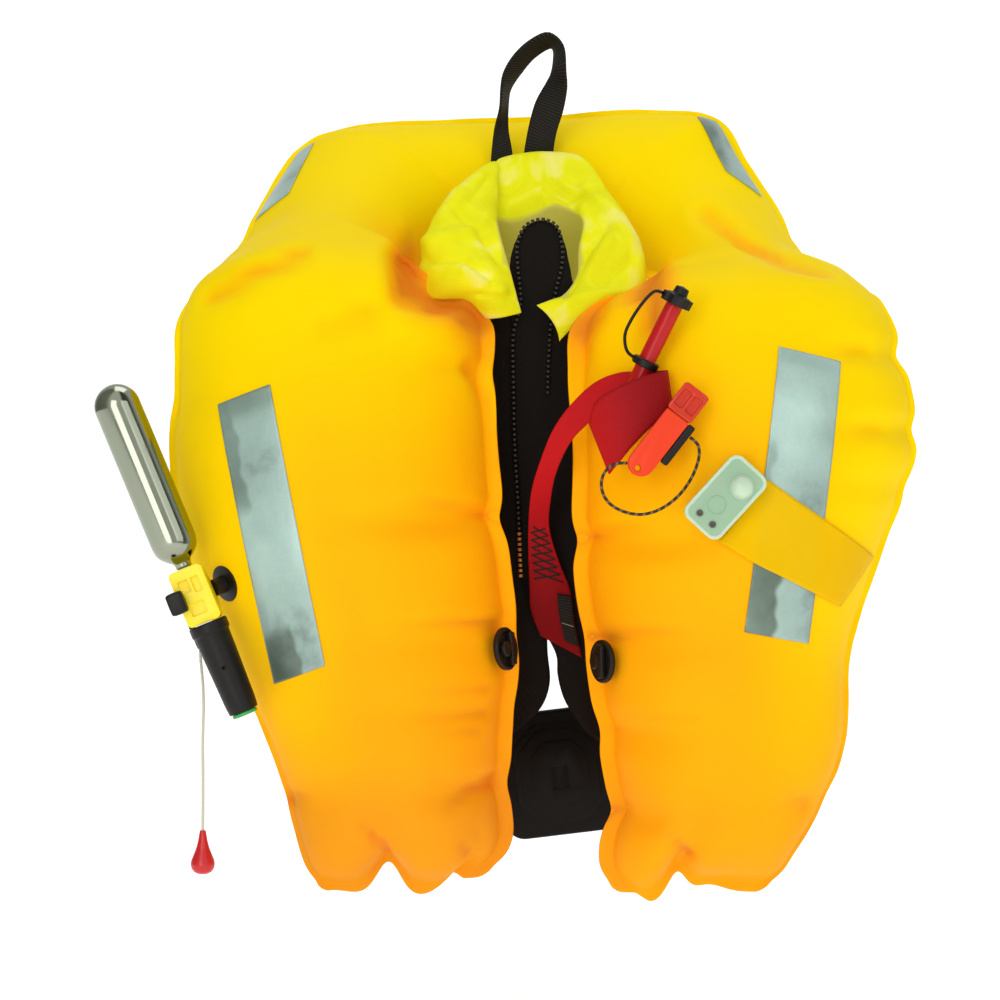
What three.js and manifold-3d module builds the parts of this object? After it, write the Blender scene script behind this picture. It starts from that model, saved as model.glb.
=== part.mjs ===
// Inflatable harness life jacket, inflated and upright as it is worn.
// Millimetres, +Z up, the front faces -Y. The origin is where the neck carries the collar.
import * as THREE from "three";
import { mergeVertices } from "three/addons/utils/BufferGeometryUtils.js";
import { RoundedBoxGeometry } from "three/addons/geometries/RoundedBoxGeometry.js";
import Module from "manifold-3d";

const wasm = await Module();
wasm.setup();

// Bladder sizes
const BLADDER_WALL = 2.4;
const SEAM_MARGIN = 7;
const END_MARGIN = 1;
const SEAM_HALF = 1.2;
const LENS_POWER = 0.6;
const FACE_POINTS = 8;
const RING_SPACING = 34;
// Height of the lobes' lower ends, from which their gathers are measured
const LOBE_FOOT = -512;
// Seam points at both sides of each section and its two bulges, from the left lobe's end
// over the neck to the right lobe's end
const BLADDER_ROWS = [
  { inner: [-50, 2, -502], outer: [-168, 2, -512], front: 4, back: 4 },
  { inner: [-42, 2, -493], outer: [-175, 2, -504], front: 25, back: 19 },
  { inner: [-36, 1, -476], outer: [-183, 1, -486], front: 49, back: 38 },
  { inner: [-33, 0, -452], outer: [-193, 0, -452], front: 71, back: 55 },
  { inner: [-29, 0, -400], outer: [-210, 0, -400], front: 87, back: 67 },
  { inner: [-23, 0, -330], outer: [-243, 0, -330], front: 95, back: 74 },
  { inner: [-31, 0, -250], outer: [-278, 0, -250], front: 99, back: 76 },
  { inner: [-40, 2, -168], outer: [-290, 0, -168], front: 97, back: 74 },
  { inner: [-43, 2, -105], outer: [-286, 2, -105], front: 86, back: 60 },
  { inner: [-46, 2, -62], outer: [-285, 14, -62], front: 72, back: 40 },
  { inner: [-78, 8, -38], outer: [-270, 58, -30], front: 50, back: 34 },
  { inner: [-103, 50, -30], outer: [-254, 108, -2], front: 50, back: 42 },
  { inner: [-106, 104, -22], outer: [-234, 150, 30], front: 54, back: 51 },
  { inner: [-92, 152, -14], outer: [-220, 182, 65], front: 60, back: 56 },
  { inner: [-64, 188, -8], outer: [-206, 206, 98], front: 60, back: 58 },
  { inner: [-36, 213, -4], outer: [-164, 218, 117], front: 62, back: 59 },
  { inner: [-16, 221, -3], outer: [-80, 223, 123], front: 63, back: 60 },
  { inner: [2, 223, -3], outer: [0, 224, 126], front: 63, back: 60 },
  { inner: [22, 221, -3], outer: [94, 223, 132], front: 63, back: 60 },
  { inner: [42, 213, -4], outer: [160, 217, 124], front: 62, back: 59 },
  { inner: [66, 188, -8], outer: [182, 206, 84], front: 58, back: 58 },
  { inner: [90, 152, -14], outer: [198, 182, 42], front: 50, back: 56 },
  { inner: [102, 104, -22], outer: [214, 150, 10], front: 44, back: 51 },
  { inner: [99, 50, -30], outer: [234, 108, -20], front: 36, back: 42 },
  { inner: [72, 8, -40], outer: [258, 50, -36], front: 30, back: 34 },
  { inner: [33, 2, -66], outer: [276, 10, -62], front: 66, back: 40 },
  { inner: [29, 2, -105], outer: [291, 2, -105], front: 87, back: 60 },
  { inner: [33, 2, -168], outer: [297, 0, -168], front: 97, back: 74 },
  { inner: [32, 0, -250], outer: [274, 0, -250], front: 99, back: 76 },
  { inner: [42, 0, -330], outer: [245, 0, -330], front: 95, back: 74 },
  { inner: [52, 0, -400], outer: [234, 0, -400], front: 87, back: 67 },
  { inner: [60, 0, -452], outer: [214, 0, -452], front: 71, back: 55 },
  { inner: [58, 1, -484], outer: [198, 1, -487], front: 49, back: 38 },
  { inner: [60, 2, -502], outer: [188, 2, -505], front: 25, back: 19 },
  { inner: [67, 2, -512], outer: [178, 2, -513], front: 4, back: 4 },
];
const LEFT_LOBE_ROWS = [0, 8];
const RIGHT_LOBE_ROWS = [34, 26];
// Gathers across the lobes: place along the edge, depth as a share of the bulge
const EDGE_GATHERS = [
  { side: -1, edge: -1, z: -228, depth: 0.3, half: 15, reach: 0.3 },
  { side: -1, edge: -1, z: -318, depth: 0.14, half: 18, reach: 0.3 },
  { side: -1, edge: -1, z: -396, depth: 0.26, half: 16, reach: 0.3 },
  { side: -1, edge: 1, z: -438, depth: 0.2, half: 18, reach: 0.3 },
  { side: 1, edge: -1, z: -241, depth: 0.3, half: 15, reach: 0.3 },
  { side: 1, edge: -1, z: -318, depth: 0.14, half: 18, reach: 0.3 },
  { side: 1, edge: -1, z: -392, depth: 0.26, half: 16, reach: 0.3 },
  { side: 1, edge: 1, z: -424, depth: 0.2, half: 18, reach: 0.3 },
];
// Scallops of the lobes' lower ends: share of the width from the inner edge, rise of the seam
const END_GATHERS = [
  { side: -1, share: 0.1, rise: 8, half: 0.07, reach: 60, depth: 0.3 },
  { side: -1, share: 0.6, rise: 22, half: 0.11, reach: 80, depth: 0.34 },
  { side: 1, share: 0.4, rise: 19, half: 0.11, reach: 80, depth: 0.34 },
];
// Deep folds between the lobes' tops and the neck roll
const SHOULDER_FOLDS = [
  { row: 11.2, half: 0.6, share: 1.0, spread: 0.42, depth: 0.45 },
  { row: 22.9, half: 0.5, share: 1.0, spread: 0.4, depth: 0.5 },
];
// The bladder lies round this oval, which the collar fills
const COLLAR_WELL = { x: -10, y: 76, radiusX: 98.7, radiusY: 82.7, top: -34, fade: 40, foot: 0.55 };

// Reflective tape sizes
const TAPE_THICKNESS = 0.6;
const TAPE_GAP = 2.3;
const FRONT_TAPES = {
  left: { top: [[-251, -134], [-209, -119]], bottom: [[-207, -351], [-166, -335]] },
  right: { top: [[183, -90], [232, -101]], bottom: [[155, -309], [206, -319]] },
};
const NECK_TAPES = {
  left: { from: 12.3, to: 14.0, share: [0.76, 0.97] },
  right: { from: 19.2, to: 20.7, share: [0.76, 0.97] },
};

// Collar: lower inner edge, ridge and lower outer edge of each section, left end to right end
const COLLAR_WALL = 2.2;
const COLLAR_STEPS = 28;
const COLLAR_ACROSS = 6;
const COLLAR_ROWS = [
  { inner: [-17, 34, -55], ridge: [-30, 18, -52], outer: [-44, 22, -59] },
  { inner: [-27, 42, -34], ridge: [-45, 10, -24], outer: [-63, 14, -44] },
  { inner: [-44, 62, -16], ridge: [-67, 18, 0], outer: [-82, 28, -38] },
  { inner: [-58, 92, -24], ridge: [-84, 58, 27], outer: [-98, 64, -12] },
  { inner: [-48, 118, -30], ridge: [-64, 110, 60], outer: [-84, 122, 4] },
  { inner: [-22, 130, -34], ridge: [-28, 138, 82], outer: [-42, 148, 12] },
  { inner: [6, 133, -36], ridge: [6, 142, 88], outer: [6, 152, 12] },
  { inner: [32, 129, -34], ridge: [40, 134, 76], outer: [48, 146, 6] },
  { inner: [48, 108, -28], ridge: [68, 84, 37], outer: [80, 98, -6] },
  { inner: [44, 76, -26], ridge: [68, 38, 1], outer: [76, 44, -34] },
  { inner: [28, 45.7, -40], ridge: [40, 14, -30], outer: [46, 18, -48] },
  { inner: [4, 36, -46], ridge: [14, 22, -54], outer: [19, 26, -72] },
];

// Cloth fronts of the harness: height, inner edge, outer edge
const COVER_THICKNESS = 2;
const COVER_VALLEY = 52;
const COVER_FLAT = 34;
const COVER_PLANE = 76.6;
const COVER_TURN = 120;
const COVER_STEP_BACK = 2.8;
const COVER_LEFT_ROWS = [
  { z: -40, inner: 8, outer: -72 },
  { z: -66, inner: 8, outer: -84 },
  { z: -110, inner: 8, outer: -96 },
  { z: -160, inner: 8, outer: -136 },
  { z: -215, inner: 8, outer: -190 },
  { z: -270, inner: 7, outer: -212 },
  { z: -330, inner: 6, outer: -212 },
  { z: -366, inner: 3, outer: -204 },
  { z: -398, inner: -14, outer: -190 },
  { z: -420, inner: -52, outer: -166 },
];
const COVER_RIGHT_ROWS = [
  { z: 20, inner: -4, outer: 8 },
  { z: 15, inner: -15, outer: 18 },
  { z: 1, inner: -20, outer: 23 },
  { z: -36, inner: -22, outer: 25 },
  { z: -50, inner: -22, outer: 62 },
  { z: -72, inner: -22, outer: 78 },
  { z: -110, inner: -21, outer: 94 },
  { z: -160, inner: -20, outer: 136 },
  { z: -215, inner: -17, outer: 190 },
  { z: -270, inner: -15, outer: 214 },
  { z: -308, inner: 0, outer: 218 },
  { z: -335, inner: 14, outer: 218 },
  { z: -366, inner: 20, outer: 214 },
  { z: -398, inner: 38, outer: 202 },
  { z: -420, inner: 72, outer: 180 },
];
const ZIP = { width: 5.4, height: 2.6, gap: 0.6, downTo: -280, upTo: -40, steps: 36 };

// Webbing: two edges of each station
const WEBBING = 1.8;
const LOOP_ROWS = [
  { a: [-40, 153.6, 40], b: [-21, 153.6, 40] },
  { a: [-40, 155, 80], b: [-21, 155, 86] },
  { a: [-37, 151, 106], b: [-25, 157, 111] },
  { a: [-32, 140, 126], b: [-25, 163, 134] },
  { a: [-31, 139, 142], b: [-23, 163, 145] },
  { a: [-29, 140, 155], b: [-13, 162, 160] },
  { a: [-20, 142, 171], b: [-2, 160, 172] },
  { a: [-6, 143, 184], b: [12, 160, 180] },
  { a: [9, 142, 190], b: [14, 161, 178] },
  { a: [21, 140, 180], b: [14, 163, 168] },
  { a: [24, 143, 156], b: [12, 163, 158] },
  { a: [25, 147, 144], b: [8, 159, 150] },
  { a: [22, 150, 125], b: [-1, 156, 134] },
  { a: [16, 152, 105], b: [-6, 155, 118] },
  { a: [13, 155, 82], b: [-12, 155, 84] },
  { a: [13, 153.6, 40], b: [-12, 153.6, 40] },
];
const LOOP_STEPS = 30;
const STRAP_ROWS = [
  { a: [1, 49.8, -319], b: [31, 49.8, -334] },
  { a: [-7, 47, -297], b: [22, 48, -307] },
  { a: [-8, 43, -277], b: [18, 45, -281] },
  { a: [-9, 37, -253], b: [13, 39, -258] },
  { a: [-9, 25, -228], b: [8, 29, -231] },
  { a: [-7, 4, -202], b: [9, 6, -205] },
  { a: [0, -22, -177], b: [14, -24, -182] },
  { a: [11, -40, -151], b: [25, -48, -160] },
  { a: [25, -47, -132], b: [40, -56, -145] },
  { a: [43, -54, -116], b: [55, -64, -132] },
  { a: [62, -66, -109], b: [73, -73, -129] },
  { a: [82, -73, -109], b: [88, -80, -134] },
  { a: [96, -83, -108], b: [100, -88, -139] },
  { a: [91, -99, -110], b: [98, -97, -142] },
  { a: [76, -105, -114], b: [86, -99, -150] },
  { a: [57, -103, -122], b: [72, -98, -164] },
  { a: [42, -92, -132], b: [61, -94, -177] },
  { a: [37, -79, -149], b: [52, -86, -188] },
];
const STRAP_STEPS = 32;
// Loose black end on the red strap: shares of its width and length
const STRAP_END = { across: [0.58, 0.98], along: [0.02, 0.115], gap: 0.5 };
const LIGHT_STRAP_ROWS = [
  { top: [172, -192], bottom: [136, -240] },
  { top: [196, -209], bottom: [158, -254] },
  { top: [222, -226], bottom: [190, -270] },
  { top: [250, -245], bottom: [222, -284] },
];
const LIGHT_STRAP_GAP = 4;
const LIGHT_STRAP_THICKNESS = 0.8;
const BELT_HEIGHT = 40;
const BELT_ROWS = {
  left: [[-178, 81.7, -390], [-200, 86, -393], [-210, 124, -399], [-192, 180, -416], [-136, 226, -436],
    [-70, 246, -446], [-24.3, 250, -449]],
  right: [[190, 78.9, -390], [212, 84, -393], [221, 124, -398], [208, 180, -412], [164, 224, -430],
    [110, 245, -440], [77.4, 250, -443]],
};

// Oral tube, cap and tether
const ORAL = {
  x: 72, z: -144, outer: 7.2, bore: 4, rise: 24, lean: [0.44, -0.14, 0.89], turn: 12, length: 102,
};
const ORAL_FLANGE = { radius: 12, height: 1.8, gap: 3 };
const ORAL_CAP = {
  radius: 11.6, edge: 1.1, skirt: 6, ribs: 6, rib: 2.6, ribHeight: 6.4, nub: 5.6, nubHeight: 9.6,
};
// The bow's way out from the tube's axis and up from the ring
const TETHER = {
  width: 5, thickness: 1.4, ringOuter: 10.6, ringHeight: 6, ringAt: 43,
  bow: [
    { out: 9.8, up: 3 }, { out: 16.6, up: 5 }, { out: 23.6, up: 15 }, { out: 24.6, up: 29 },
    { out: 21, up: 49.8 }, { out: 17.6, up: 56.2 }, { out: 14.9, up: 56.8 },
  ],
};

// Whistle
const WHISTLE = {
  at: [94, -107, -156], lean: 0.66, width: 20.5, depth: 13, body: 56, mouth: 25, bevel: 1.4,
  eye: { radius: 2.2, up: 5.5 },
  window: { width: 10, height: 9, depth: 3, down: 12 },
  slot: { width: 7, height: 14, depth: 3.5, spacing: 10 },
};
const WHISTLE_CLIP = { width: 6, depth: 10, length: 36, up: 38 };
const CORD_RADIUS = 1.2;
const WHISTLE_CORD_POINTS = [
  [64.9, -107, -179.9], [61.5, -107, -179.9], [57.5, -107, -180.2], [53, -107, -181.8],
  [48.6, -107.2, -185.6], [45.8, -107.4, -191.2], [45.2, -107.6, -198], [47.2, -107.8, -205],
  [51.8, -108.2, -211], [58.6, -108.6, -215.4], [67, -108.8, -218.2], [75.5, -108.8, -219],
  [84, -108.6, -217.4], [92, -108.4, -213.8], [99.8, -108, -208.4], [107, -107.8, -201.2],
  [113, -107.6, -192.4], [117.4, -107.4, -182.8], [119.6, -107.2, -173.6], [118.8, -107, -166.4],
  [115.6, -107, -162.6], [112.5, -107, -160.2],
];

// Rescue light
const LIGHT = { at: [139, -110.5, -206], lean: 0.74, length: 62, width: 35, depth: 17, corner: 8, bevel: 3 };
const LIGHT_DOME = { along: 14, across: 4, radius: 8.6, rise: 7.2 };
const LIGHT_CONTACTS = { along: -22, spacing: 13, radius: 2.6, height: 1.6, bridge: 0.7 };

// Inflator and gas cylinder, along the inflator's own axis
const INFLATOR = {
  seat: [-246, -273], standoff: 32.6, lean: -0.394, width: 27, depth: 23, length: 45, corner: 4, bevel: 2,
};
const INFLATOR_RECESSES = [
  { x: -4.5, z: 9, wide: 8, high: 10, deep: 3.5 },
  { x: 5, z: 8, wide: 6, high: 12, deep: 3.5 },
  { x: -1, z: -10, wide: 12, high: 10, deep: 3.5 },
];
const CYLINDER = {
  radius: 18, top: 176, dome: 14.4, shoulder: 36, slope: 6, neck: 6.4, neckLength: 4, foot: 22.9,
};
const CAP = {
  from: -22.9, to: -97, wide: 15.4, edge: 1, collar: 8, waist: 13.7, narrow: 11.6,
  hole: { radius: 1.8, depth: 2, at: -60 },
};
const INDICATOR = { radius: 10, height: 3 };
const KNOB = { at: [-13.6, -18.9, -0.5], size: [14, 14, 18], round: 3 };
const LEVER = { at: [-14, 14.2, -17], size: [5, 6, 46], round: 1.6 };
const STEM = { radius: 7, flange: 15, flangeHeight: 2, start: 3, clear: 16.9 };
const PULL_CORD_RADIUS = 1.1;
const PULL_CORD_POINTS = [
  [-265.5, -57, -324.9], [-265.4, -57, -330], [-265, -57, -336], [-264.3, -57, -343], [-263.6, -57, -351],
  [-263.2, -57, -360], [-263, -57, -369], [-263.2, -57, -379], [-263.5, -57, -390], [-263.6, -57, -402],
  [-263.5, -57, -414], [-263.4, -57, -426], [-263.4, -57, -439], [-263.5, -57, -452], [-263.6, -57, -465],
];
const BEAD = { length: 34, radius: 9.4, tip: 2, waist: 4.6 };

// Studs on the lobes' inner edges
const STUD = {
  boss: 7, bossHeight: 3.4, plate: 16.5, plateHeight: 4, neck: 8, neckHeight: 3, head: 14, headHeight: 8,
  edge: 2, standoff: 6,
};
const STUD_SEATS = [{ side: "left", x: -32, z: -326 }, { side: "right", x: 53, z: -335 }];

// Back pad
const PAD = { at: [27, 250, -450], width: 96, height: 112, depth: 9, corner: 20, bevel: 3, tilt: -0.12 };
const PAD_RELIEF = { width: 60, height: 66, chamfer: 16, band: 5, rise: 1.6 };
const PAD_SLOTS = { spacing: 11, width: 4, height: 20, depth: 3, drop: -4 };

// Sides of round bodies
const ROUND_SIDES = 16;
const SMALL_SIDES = 12;

// Clearance of a seated piece, wider where edges cross
const SEAT_GAP = 0.35;
const SLANT_GAP = 0.7;
const SEAT_SIDES = new THREE.MeshBasicMaterial({ side: THREE.DoubleSide });

const vec = (p) => new THREE.Vector3(...p);

// One closed body from points and triangles, turned to face outward
function closedGeometry(points, triangles) {
  const geometry = new THREE.BufferGeometry();
  const at = points.map((p) => (p.isVector3 ? p : vec(p)));
  let volume = 0;
  for (const [i, j, k] of triangles) {
    volume += at[i].dot(new THREE.Vector3().crossVectors(at[j], at[k]));
  }
  const order = volume < 0 ? triangles.map(([i, j, k]) => [i, k, j]) : triangles;
  geometry.setAttribute("position", new THREE.Float32BufferAttribute(at.flatMap((p) => p.toArray()), 3));
  geometry.setIndex(order.flat());
  return geometry;
}

// Shared corners only, with no empty triangles
function welded(geometry) {
  const bare = geometry.clone();
  bare.deleteAttribute("normal");
  bare.deleteAttribute("uv");
  const merged = mergeVertices(bare, 1e-3);
  const index = merged.getIndex().array;
  const kept = [];
  for (let i = 0; i < index.length; i += 3) {
    const [a, b, c] = [index[i], index[i + 1], index[i + 2]];
    if (a !== b && b !== c && c !== a) {
      kept.push(a, b, c);
    }
  }
  merged.setIndex(kept);
  return merged;
}

function solidOf(geometry) {
  const clean = welded(geometry);
  return new wasm.Manifold(new wasm.Mesh({
    numProp: 3,
    vertProperties: new Float32Array(clean.getAttribute("position").array),
    triVerts: new Uint32Array(clean.getIndex().array),
  }));
}

function geometryOf(solid) {
  const mesh = solid.getMesh();
  const geometry = new THREE.BufferGeometry();
  geometry.setAttribute("position", new THREE.Float32BufferAttribute(Array.from(mesh.vertProperties), 3));
  geometry.setIndex(Array.from(mesh.triVerts));
  return geometry;
}

// Rings of equal even count joined into one closed body, each end closed by strips straight across
function loft(rings) {
  const count = rings[0].length;
  const points = rings.flat();
  const triangles = [];
  const quad = (a, b, c, d) => triangles.push([a, b, c], [a, c, d]);
  for (let i = 0; i + 1 < rings.length; i += 1) {
    for (let j = 0; j < count; j += 1) {
      const next = (j + 1) % count;
      quad(i * count + j, i * count + next, (i + 1) * count + next, (i + 1) * count + j);
    }
  }
  const last = (rings.length - 1) * count;
  for (let j = 0; j + 1 < count / 2; j += 1) {
    const [a, b, c, d] = [j, j + 1, count - 2 - j, count - 1 - j];
    quad(d, c, b, a);
    quad(last + a, last + b, last + c, last + d);
  }
  return closedGeometry(points, triangles);
}

// A thin wall of even thickness on a surface given over a square of u and v
function sheet(across, along, surface, thickness) {
  const step = 1e-3;
  const sides = [[], []];
  for (let j = 0; j <= along; j += 1) {
    for (let i = 0; i <= across; i += 1) {
      const [u, v] = [i / across, j / along];
      const du = surface(Math.min(1, u + step), v).sub(surface(Math.max(0, u - step), v));
      const dv = surface(u, Math.min(1, v + step)).sub(surface(u, Math.max(0, v - step)));
      const normal = du.cross(dv).normalize().multiplyScalar(thickness / 2);
      const middle = surface(u, v);
      sides[0].push(middle.clone().add(normal));
      sides[1].push(middle.clone().sub(normal));
    }
  }
  const points = [...sides[0], ...sides[1]];
  const at = (side, i, j) => side * sides[0].length + j * (across + 1) + i;
  const triangles = [];
  const quad = (a, b, c, d) => triangles.push([a, b, c], [a, c, d]);
  for (let j = 0; j < along; j += 1) {
    for (let i = 0; i < across; i += 1) {
      quad(at(0, i, j), at(0, i + 1, j), at(0, i + 1, j + 1), at(0, i, j + 1));
      quad(at(1, i, j), at(1, i, j + 1), at(1, i + 1, j + 1), at(1, i + 1, j));
    }
    quad(at(0, 0, j), at(0, 0, j + 1), at(1, 0, j + 1), at(1, 0, j));
    quad(at(0, across, j), at(1, across, j), at(1, across, j + 1), at(0, across, j + 1));
  }
  for (let i = 0; i < across; i += 1) {
    quad(at(0, i, 0), at(1, i, 0), at(1, i + 1, 0), at(0, i + 1, 0));
    quad(at(0, i, along), at(0, i + 1, along), at(1, i + 1, along), at(1, i, along));
  }
  return closedGeometry(points, triangles);
}

const curveOf = (points) => new THREE.CatmullRomCurve3(points.map(vec));

// Webbing between two edge curves
function webbing(rows, steps, thickness) {
  const edgeA = curveOf(rows.map((row) => row.a));
  const edgeB = curveOf(rows.map((row) => row.b));
  return sheet(1, steps, (u, v) => edgeA.getPoint(v).lerp(edgeB.getPoint(v), u), thickness);
}

// A second layer lying on the front of the red strap
function strapEnd() {
  const edgeA = curveOf(STRAP_ROWS.map((row) => row.a));
  const edgeB = curveOf(STRAP_ROWS.map((row) => row.b));
  const { across, along, gap } = STRAP_END;
  const surface = (u, v) => {
    const place = along[0] + (along[1] - along[0]) * v;
    const point = edgeA.getPoint(place).lerp(edgeB.getPoint(place), across[0] + (across[1] - across[0]) * u);
    return point.add(new THREE.Vector3(0, -WEBBING - gap, 0));
  };
  return sheet(1, 6, surface, WEBBING);
}

function circle(radius, sides) {
  const shape = new THREE.Shape();
  for (let i = 0; i < sides; i += 1) {
    const turn = (2 * Math.PI * i) / sides;
    const [x, y] = [radius * Math.cos(turn), radius * Math.sin(turn)];
    i ? shape.lineTo(x, y) : shape.moveTo(x, y);
  }
  shape.closePath();
  return shape;
}

function tube(points, radius, sides, steps) {
  const path = curveOf(points);
  return new THREE.ExtrudeGeometry(circle(radius, sides), { steps, extrudePath: path, bevelEnabled: false });
}

// A turned body about Z from radius and height pairs that start and end on the axis
function turned(profile, sides) {
  const lathe = new THREE.LatheGeometry(profile.map(([r, z]) => new THREE.Vector2(r, z)), sides);
  return closedFrom(lathe.rotateX(Math.PI / 2));
}

function closedFrom(geometry) {
  const clean = welded(geometry);
  const array = clean.getAttribute("position").array;
  const points = [];
  for (let i = 0; i < array.length; i += 3) {
    points.push([array[i], array[i + 1], array[i + 2]]);
  }
  const index = Array.from(clean.getIndex().array);
  const triangles = [];
  for (let i = 0; i < index.length; i += 3) {
    triangles.push(index.slice(i, i + 3));
  }
  return closedGeometry(points, triangles);
}

// A flat outline raised along Z
function raised(shape, depth, bevel = 0) {
  return new THREE.ExtrudeGeometry(shape, {
    depth: depth - 2 * bevel,
    bevelEnabled: bevel > 0,
    bevelThickness: bevel,
    bevelSize: bevel,
    bevelOffset: -bevel,
    bevelSegments: 1,
    curveSegments: 4,
  }).translate(0, 0, bevel - depth / 2);
}

function roundedRectangle(width, height, corner) {
  const shape = new THREE.Shape();
  const [w, h] = [width / 2, height / 2];
  shape.moveTo(-w + corner, -h);
  shape.lineTo(w - corner, -h);
  shape.absarc(w - corner, -h + corner, corner, -Math.PI / 2, 0);
  shape.lineTo(w, h - corner);
  shape.absarc(w - corner, h - corner, corner, 0, Math.PI / 2);
  shape.lineTo(-w + corner, h);
  shape.absarc(-w + corner, h - corner, corner, Math.PI / 2, Math.PI);
  shape.lineTo(-w, -h + corner);
  shape.absarc(-w + corner, -h + corner, corner, Math.PI, 1.5 * Math.PI);
  return shape;
}

// Bladder surface
const rowCount = BLADDER_ROWS.length;
const seamInner = curveOf(BLADDER_ROWS.map((row) => row.inner));
const seamOuter = curveOf(BLADDER_ROWS.map((row) => row.outer));
const bulges = curveOf(BLADDER_ROWS.map((row) => [row.front, row.back, 0]));

function sectionAt(row) {
  const t = THREE.MathUtils.clamp(row / (rowCount - 1), 0, 1);
  const [inner, outer, bulge] = [seamInner, seamOuter, bulges].map((curve) => curve.getPoint(t));
  const reach = 0.25 / (rowCount - 1);
  const middle = (s) => seamInner.getPoint(THREE.MathUtils.clamp(s, 0, 1))
    .add(seamOuter.getPoint(THREE.MathUtils.clamp(s, 0, 1))).multiplyScalar(0.5);
  const along = middle(t + reach).sub(middle(t - reach)).normalize();
  const half = inner.distanceTo(outer) / 2;
  const across = outer.clone().sub(inner).normalize();
  const front = new THREE.Vector3().crossVectors(along, across).normalize();
  const centre = inner.clone().add(outer).multiplyScalar(0.5);
  return { row, inner, outer, centre, along, across, front, half, frontBulge: bulge.x, backBulge: bulge.y };
}

const bump = (distance, half) => Math.exp(-((distance / half) ** 2));

// Share of the bulge that stays where gathers pinch it; share runs -1 at the inner seam to 1
function fullness(section, share) {
  const side = Math.sign(section.centre.x);
  let kept = 1;
  for (const gather of EDGE_GATHERS) {
    if (gather.side === side && section.centre.z < -90) {
      const inward = (1 - gather.edge * share) / 2;
      kept -= gather.depth * bump(section.centre.z - gather.z, gather.half) * bump(inward, gather.reach);
    }
  }
  for (const gather of END_GATHERS) {
    if (gather.side === side && section.centre.z < -350) {
      const rise = section.centre.z - LOBE_FOOT;
      kept -= gather.depth * bump((share + 1) / 2 - gather.share, gather.half) * bump(rise, gather.reach);
    }
  }
  for (const fold of SHOULDER_FOLDS) {
    kept -= fold.depth * bump(section.row - fold.row, fold.half) * bump(share - fold.share, fold.spread);
  }
  return kept;
}

function seamRise(section, share) {
  const side = Math.sign(section.centre.x);
  let rise = 0;
  for (const gather of END_GATHERS) {
    const height = section.centre.z - LOBE_FOOT;
    if (gather.side === side && height < 2 * gather.reach) {
      const across = bump((share + 1) / 2 - gather.share, gather.half);
      rise += gather.rise * across * bump(height, gather.reach / 2);
    }
  }
  return rise;
}

// Points inside the collar's well move out to its wall
function clearOfCollar(point, margin) {
  const well = COLLAR_WELL;
  const depth = THREE.MathUtils.clamp((point.z - well.top + well.fade) / well.fade, 0, 1);
  if (depth === 0) {
    return point;
  }
  const size = well.foot + (1 - well.foot) * depth;
  const [rx, ry] = [well.radiusX * size + margin, well.radiusY * size + margin];
  const [dx, dy] = [point.x - well.x, point.y - well.y];
  const reach = Math.hypot(dx / rx, dy / ry);
  if (reach < 1 && depth > 0) {
    point.x = well.x + dx / reach;
    point.y = well.y + dy / reach;
  }
  return point;
}

function bladderPoint(section, share, face, inset = 0) {
  const bulge = face > 0 ? section.frontBulge : section.backBulge;
  const full = Math.max(0, 1 - share * share) ** LENS_POWER;
  const height = Math.max(SEAM_HALF, bulge * full * fullness(section, share));
  const half = section.half - inset * 2.2;
  const point = section.centre.clone()
    .addScaledVector(section.across, half * share)
    .addScaledVector(section.front, face * Math.max(0.4, height - inset));
  point.z += seamRise(section, share);
  return clearOfCollar(point, inset);
}

const shares = (count) => Array.from({ length: count }, (_, k) => Math.cos((Math.PI * (k + 0.5)) / count));

function bladderRing(section, inset, lift = 0, margin = SEAM_MARGIN) {
  const front = shares(FACE_POINTS).map((share) => bladderPoint(section, share, 1, inset));
  const back = shares(FACE_POINTS).reverse().map((share) => bladderPoint(section, share, -1, inset));
  const edge = (share, face) => {
    const point = section.centre.clone()
      .addScaledVector(section.across, share * (section.half + margin))
      .addScaledVector(section.front, face * SEAM_HALF);
    point.z += seamRise(section, share);
    return clearOfCollar(point, 0);
  };
  const ring = inset > 0 ? [...front, ...back]
    : [edge(1, 1), ...front, edge(-1, 1), edge(-1, -1), ...back, edge(1, -1)];
  return ring.map((point) => point.addScaledVector(section.along, lift));
}

function flatRing(section, lift) {
  const flat = { ...section, frontBulge: 0, backBulge: 0 };
  return bladderRing(flat, 0, lift, END_MARGIN);
}

// Places of the rings, closer where the table's rows stand far apart
function ringRows() {
  const rows = [];
  for (let i = 0; i + 1 < rowCount; i += 1) {
    const reach = sectionAt(i).centre.distanceTo(sectionAt(i + 1).centre);
    const steps = Math.max(1, Math.round(reach / RING_SPACING));
    rows.push(...Array.from({ length: steps }, (_, k) => i + k / steps));
  }
  return [...rows, rowCount - 1];
}

function bladderBody() {
  const last = rowCount - 1;
  const rows = ringRows();
  const rings = rows.map((row) => bladderRing(sectionAt(row), 0));
  rings.unshift(flatRing(sectionAt(0), -SEAM_MARGIN));
  rings.push(flatRing(sectionAt(last), SEAM_MARGIN));
  const chamberRows = rows.filter((row) => row >= 1 && row <= last - 1);
  const chamber = loft(chamberRows.map((row) => bladderRing(sectionAt(row), BLADDER_WALL)));
  const seat = lobeSeat("right", ORAL.x, ORAL.z);
  const bore = placedAlong(new THREE.CylinderGeometry(ORAL.bore, ORAL.bore, 60, 12), seat.point, seat.normal);
  const shell = solidOf(loft(rings)).subtract(solidOf(chamber)).subtract(solidOf(bore));
  return geometryOf(shell.decompose().sort((a, b) => b.volume() - a.volume())[0]);
}

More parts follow.
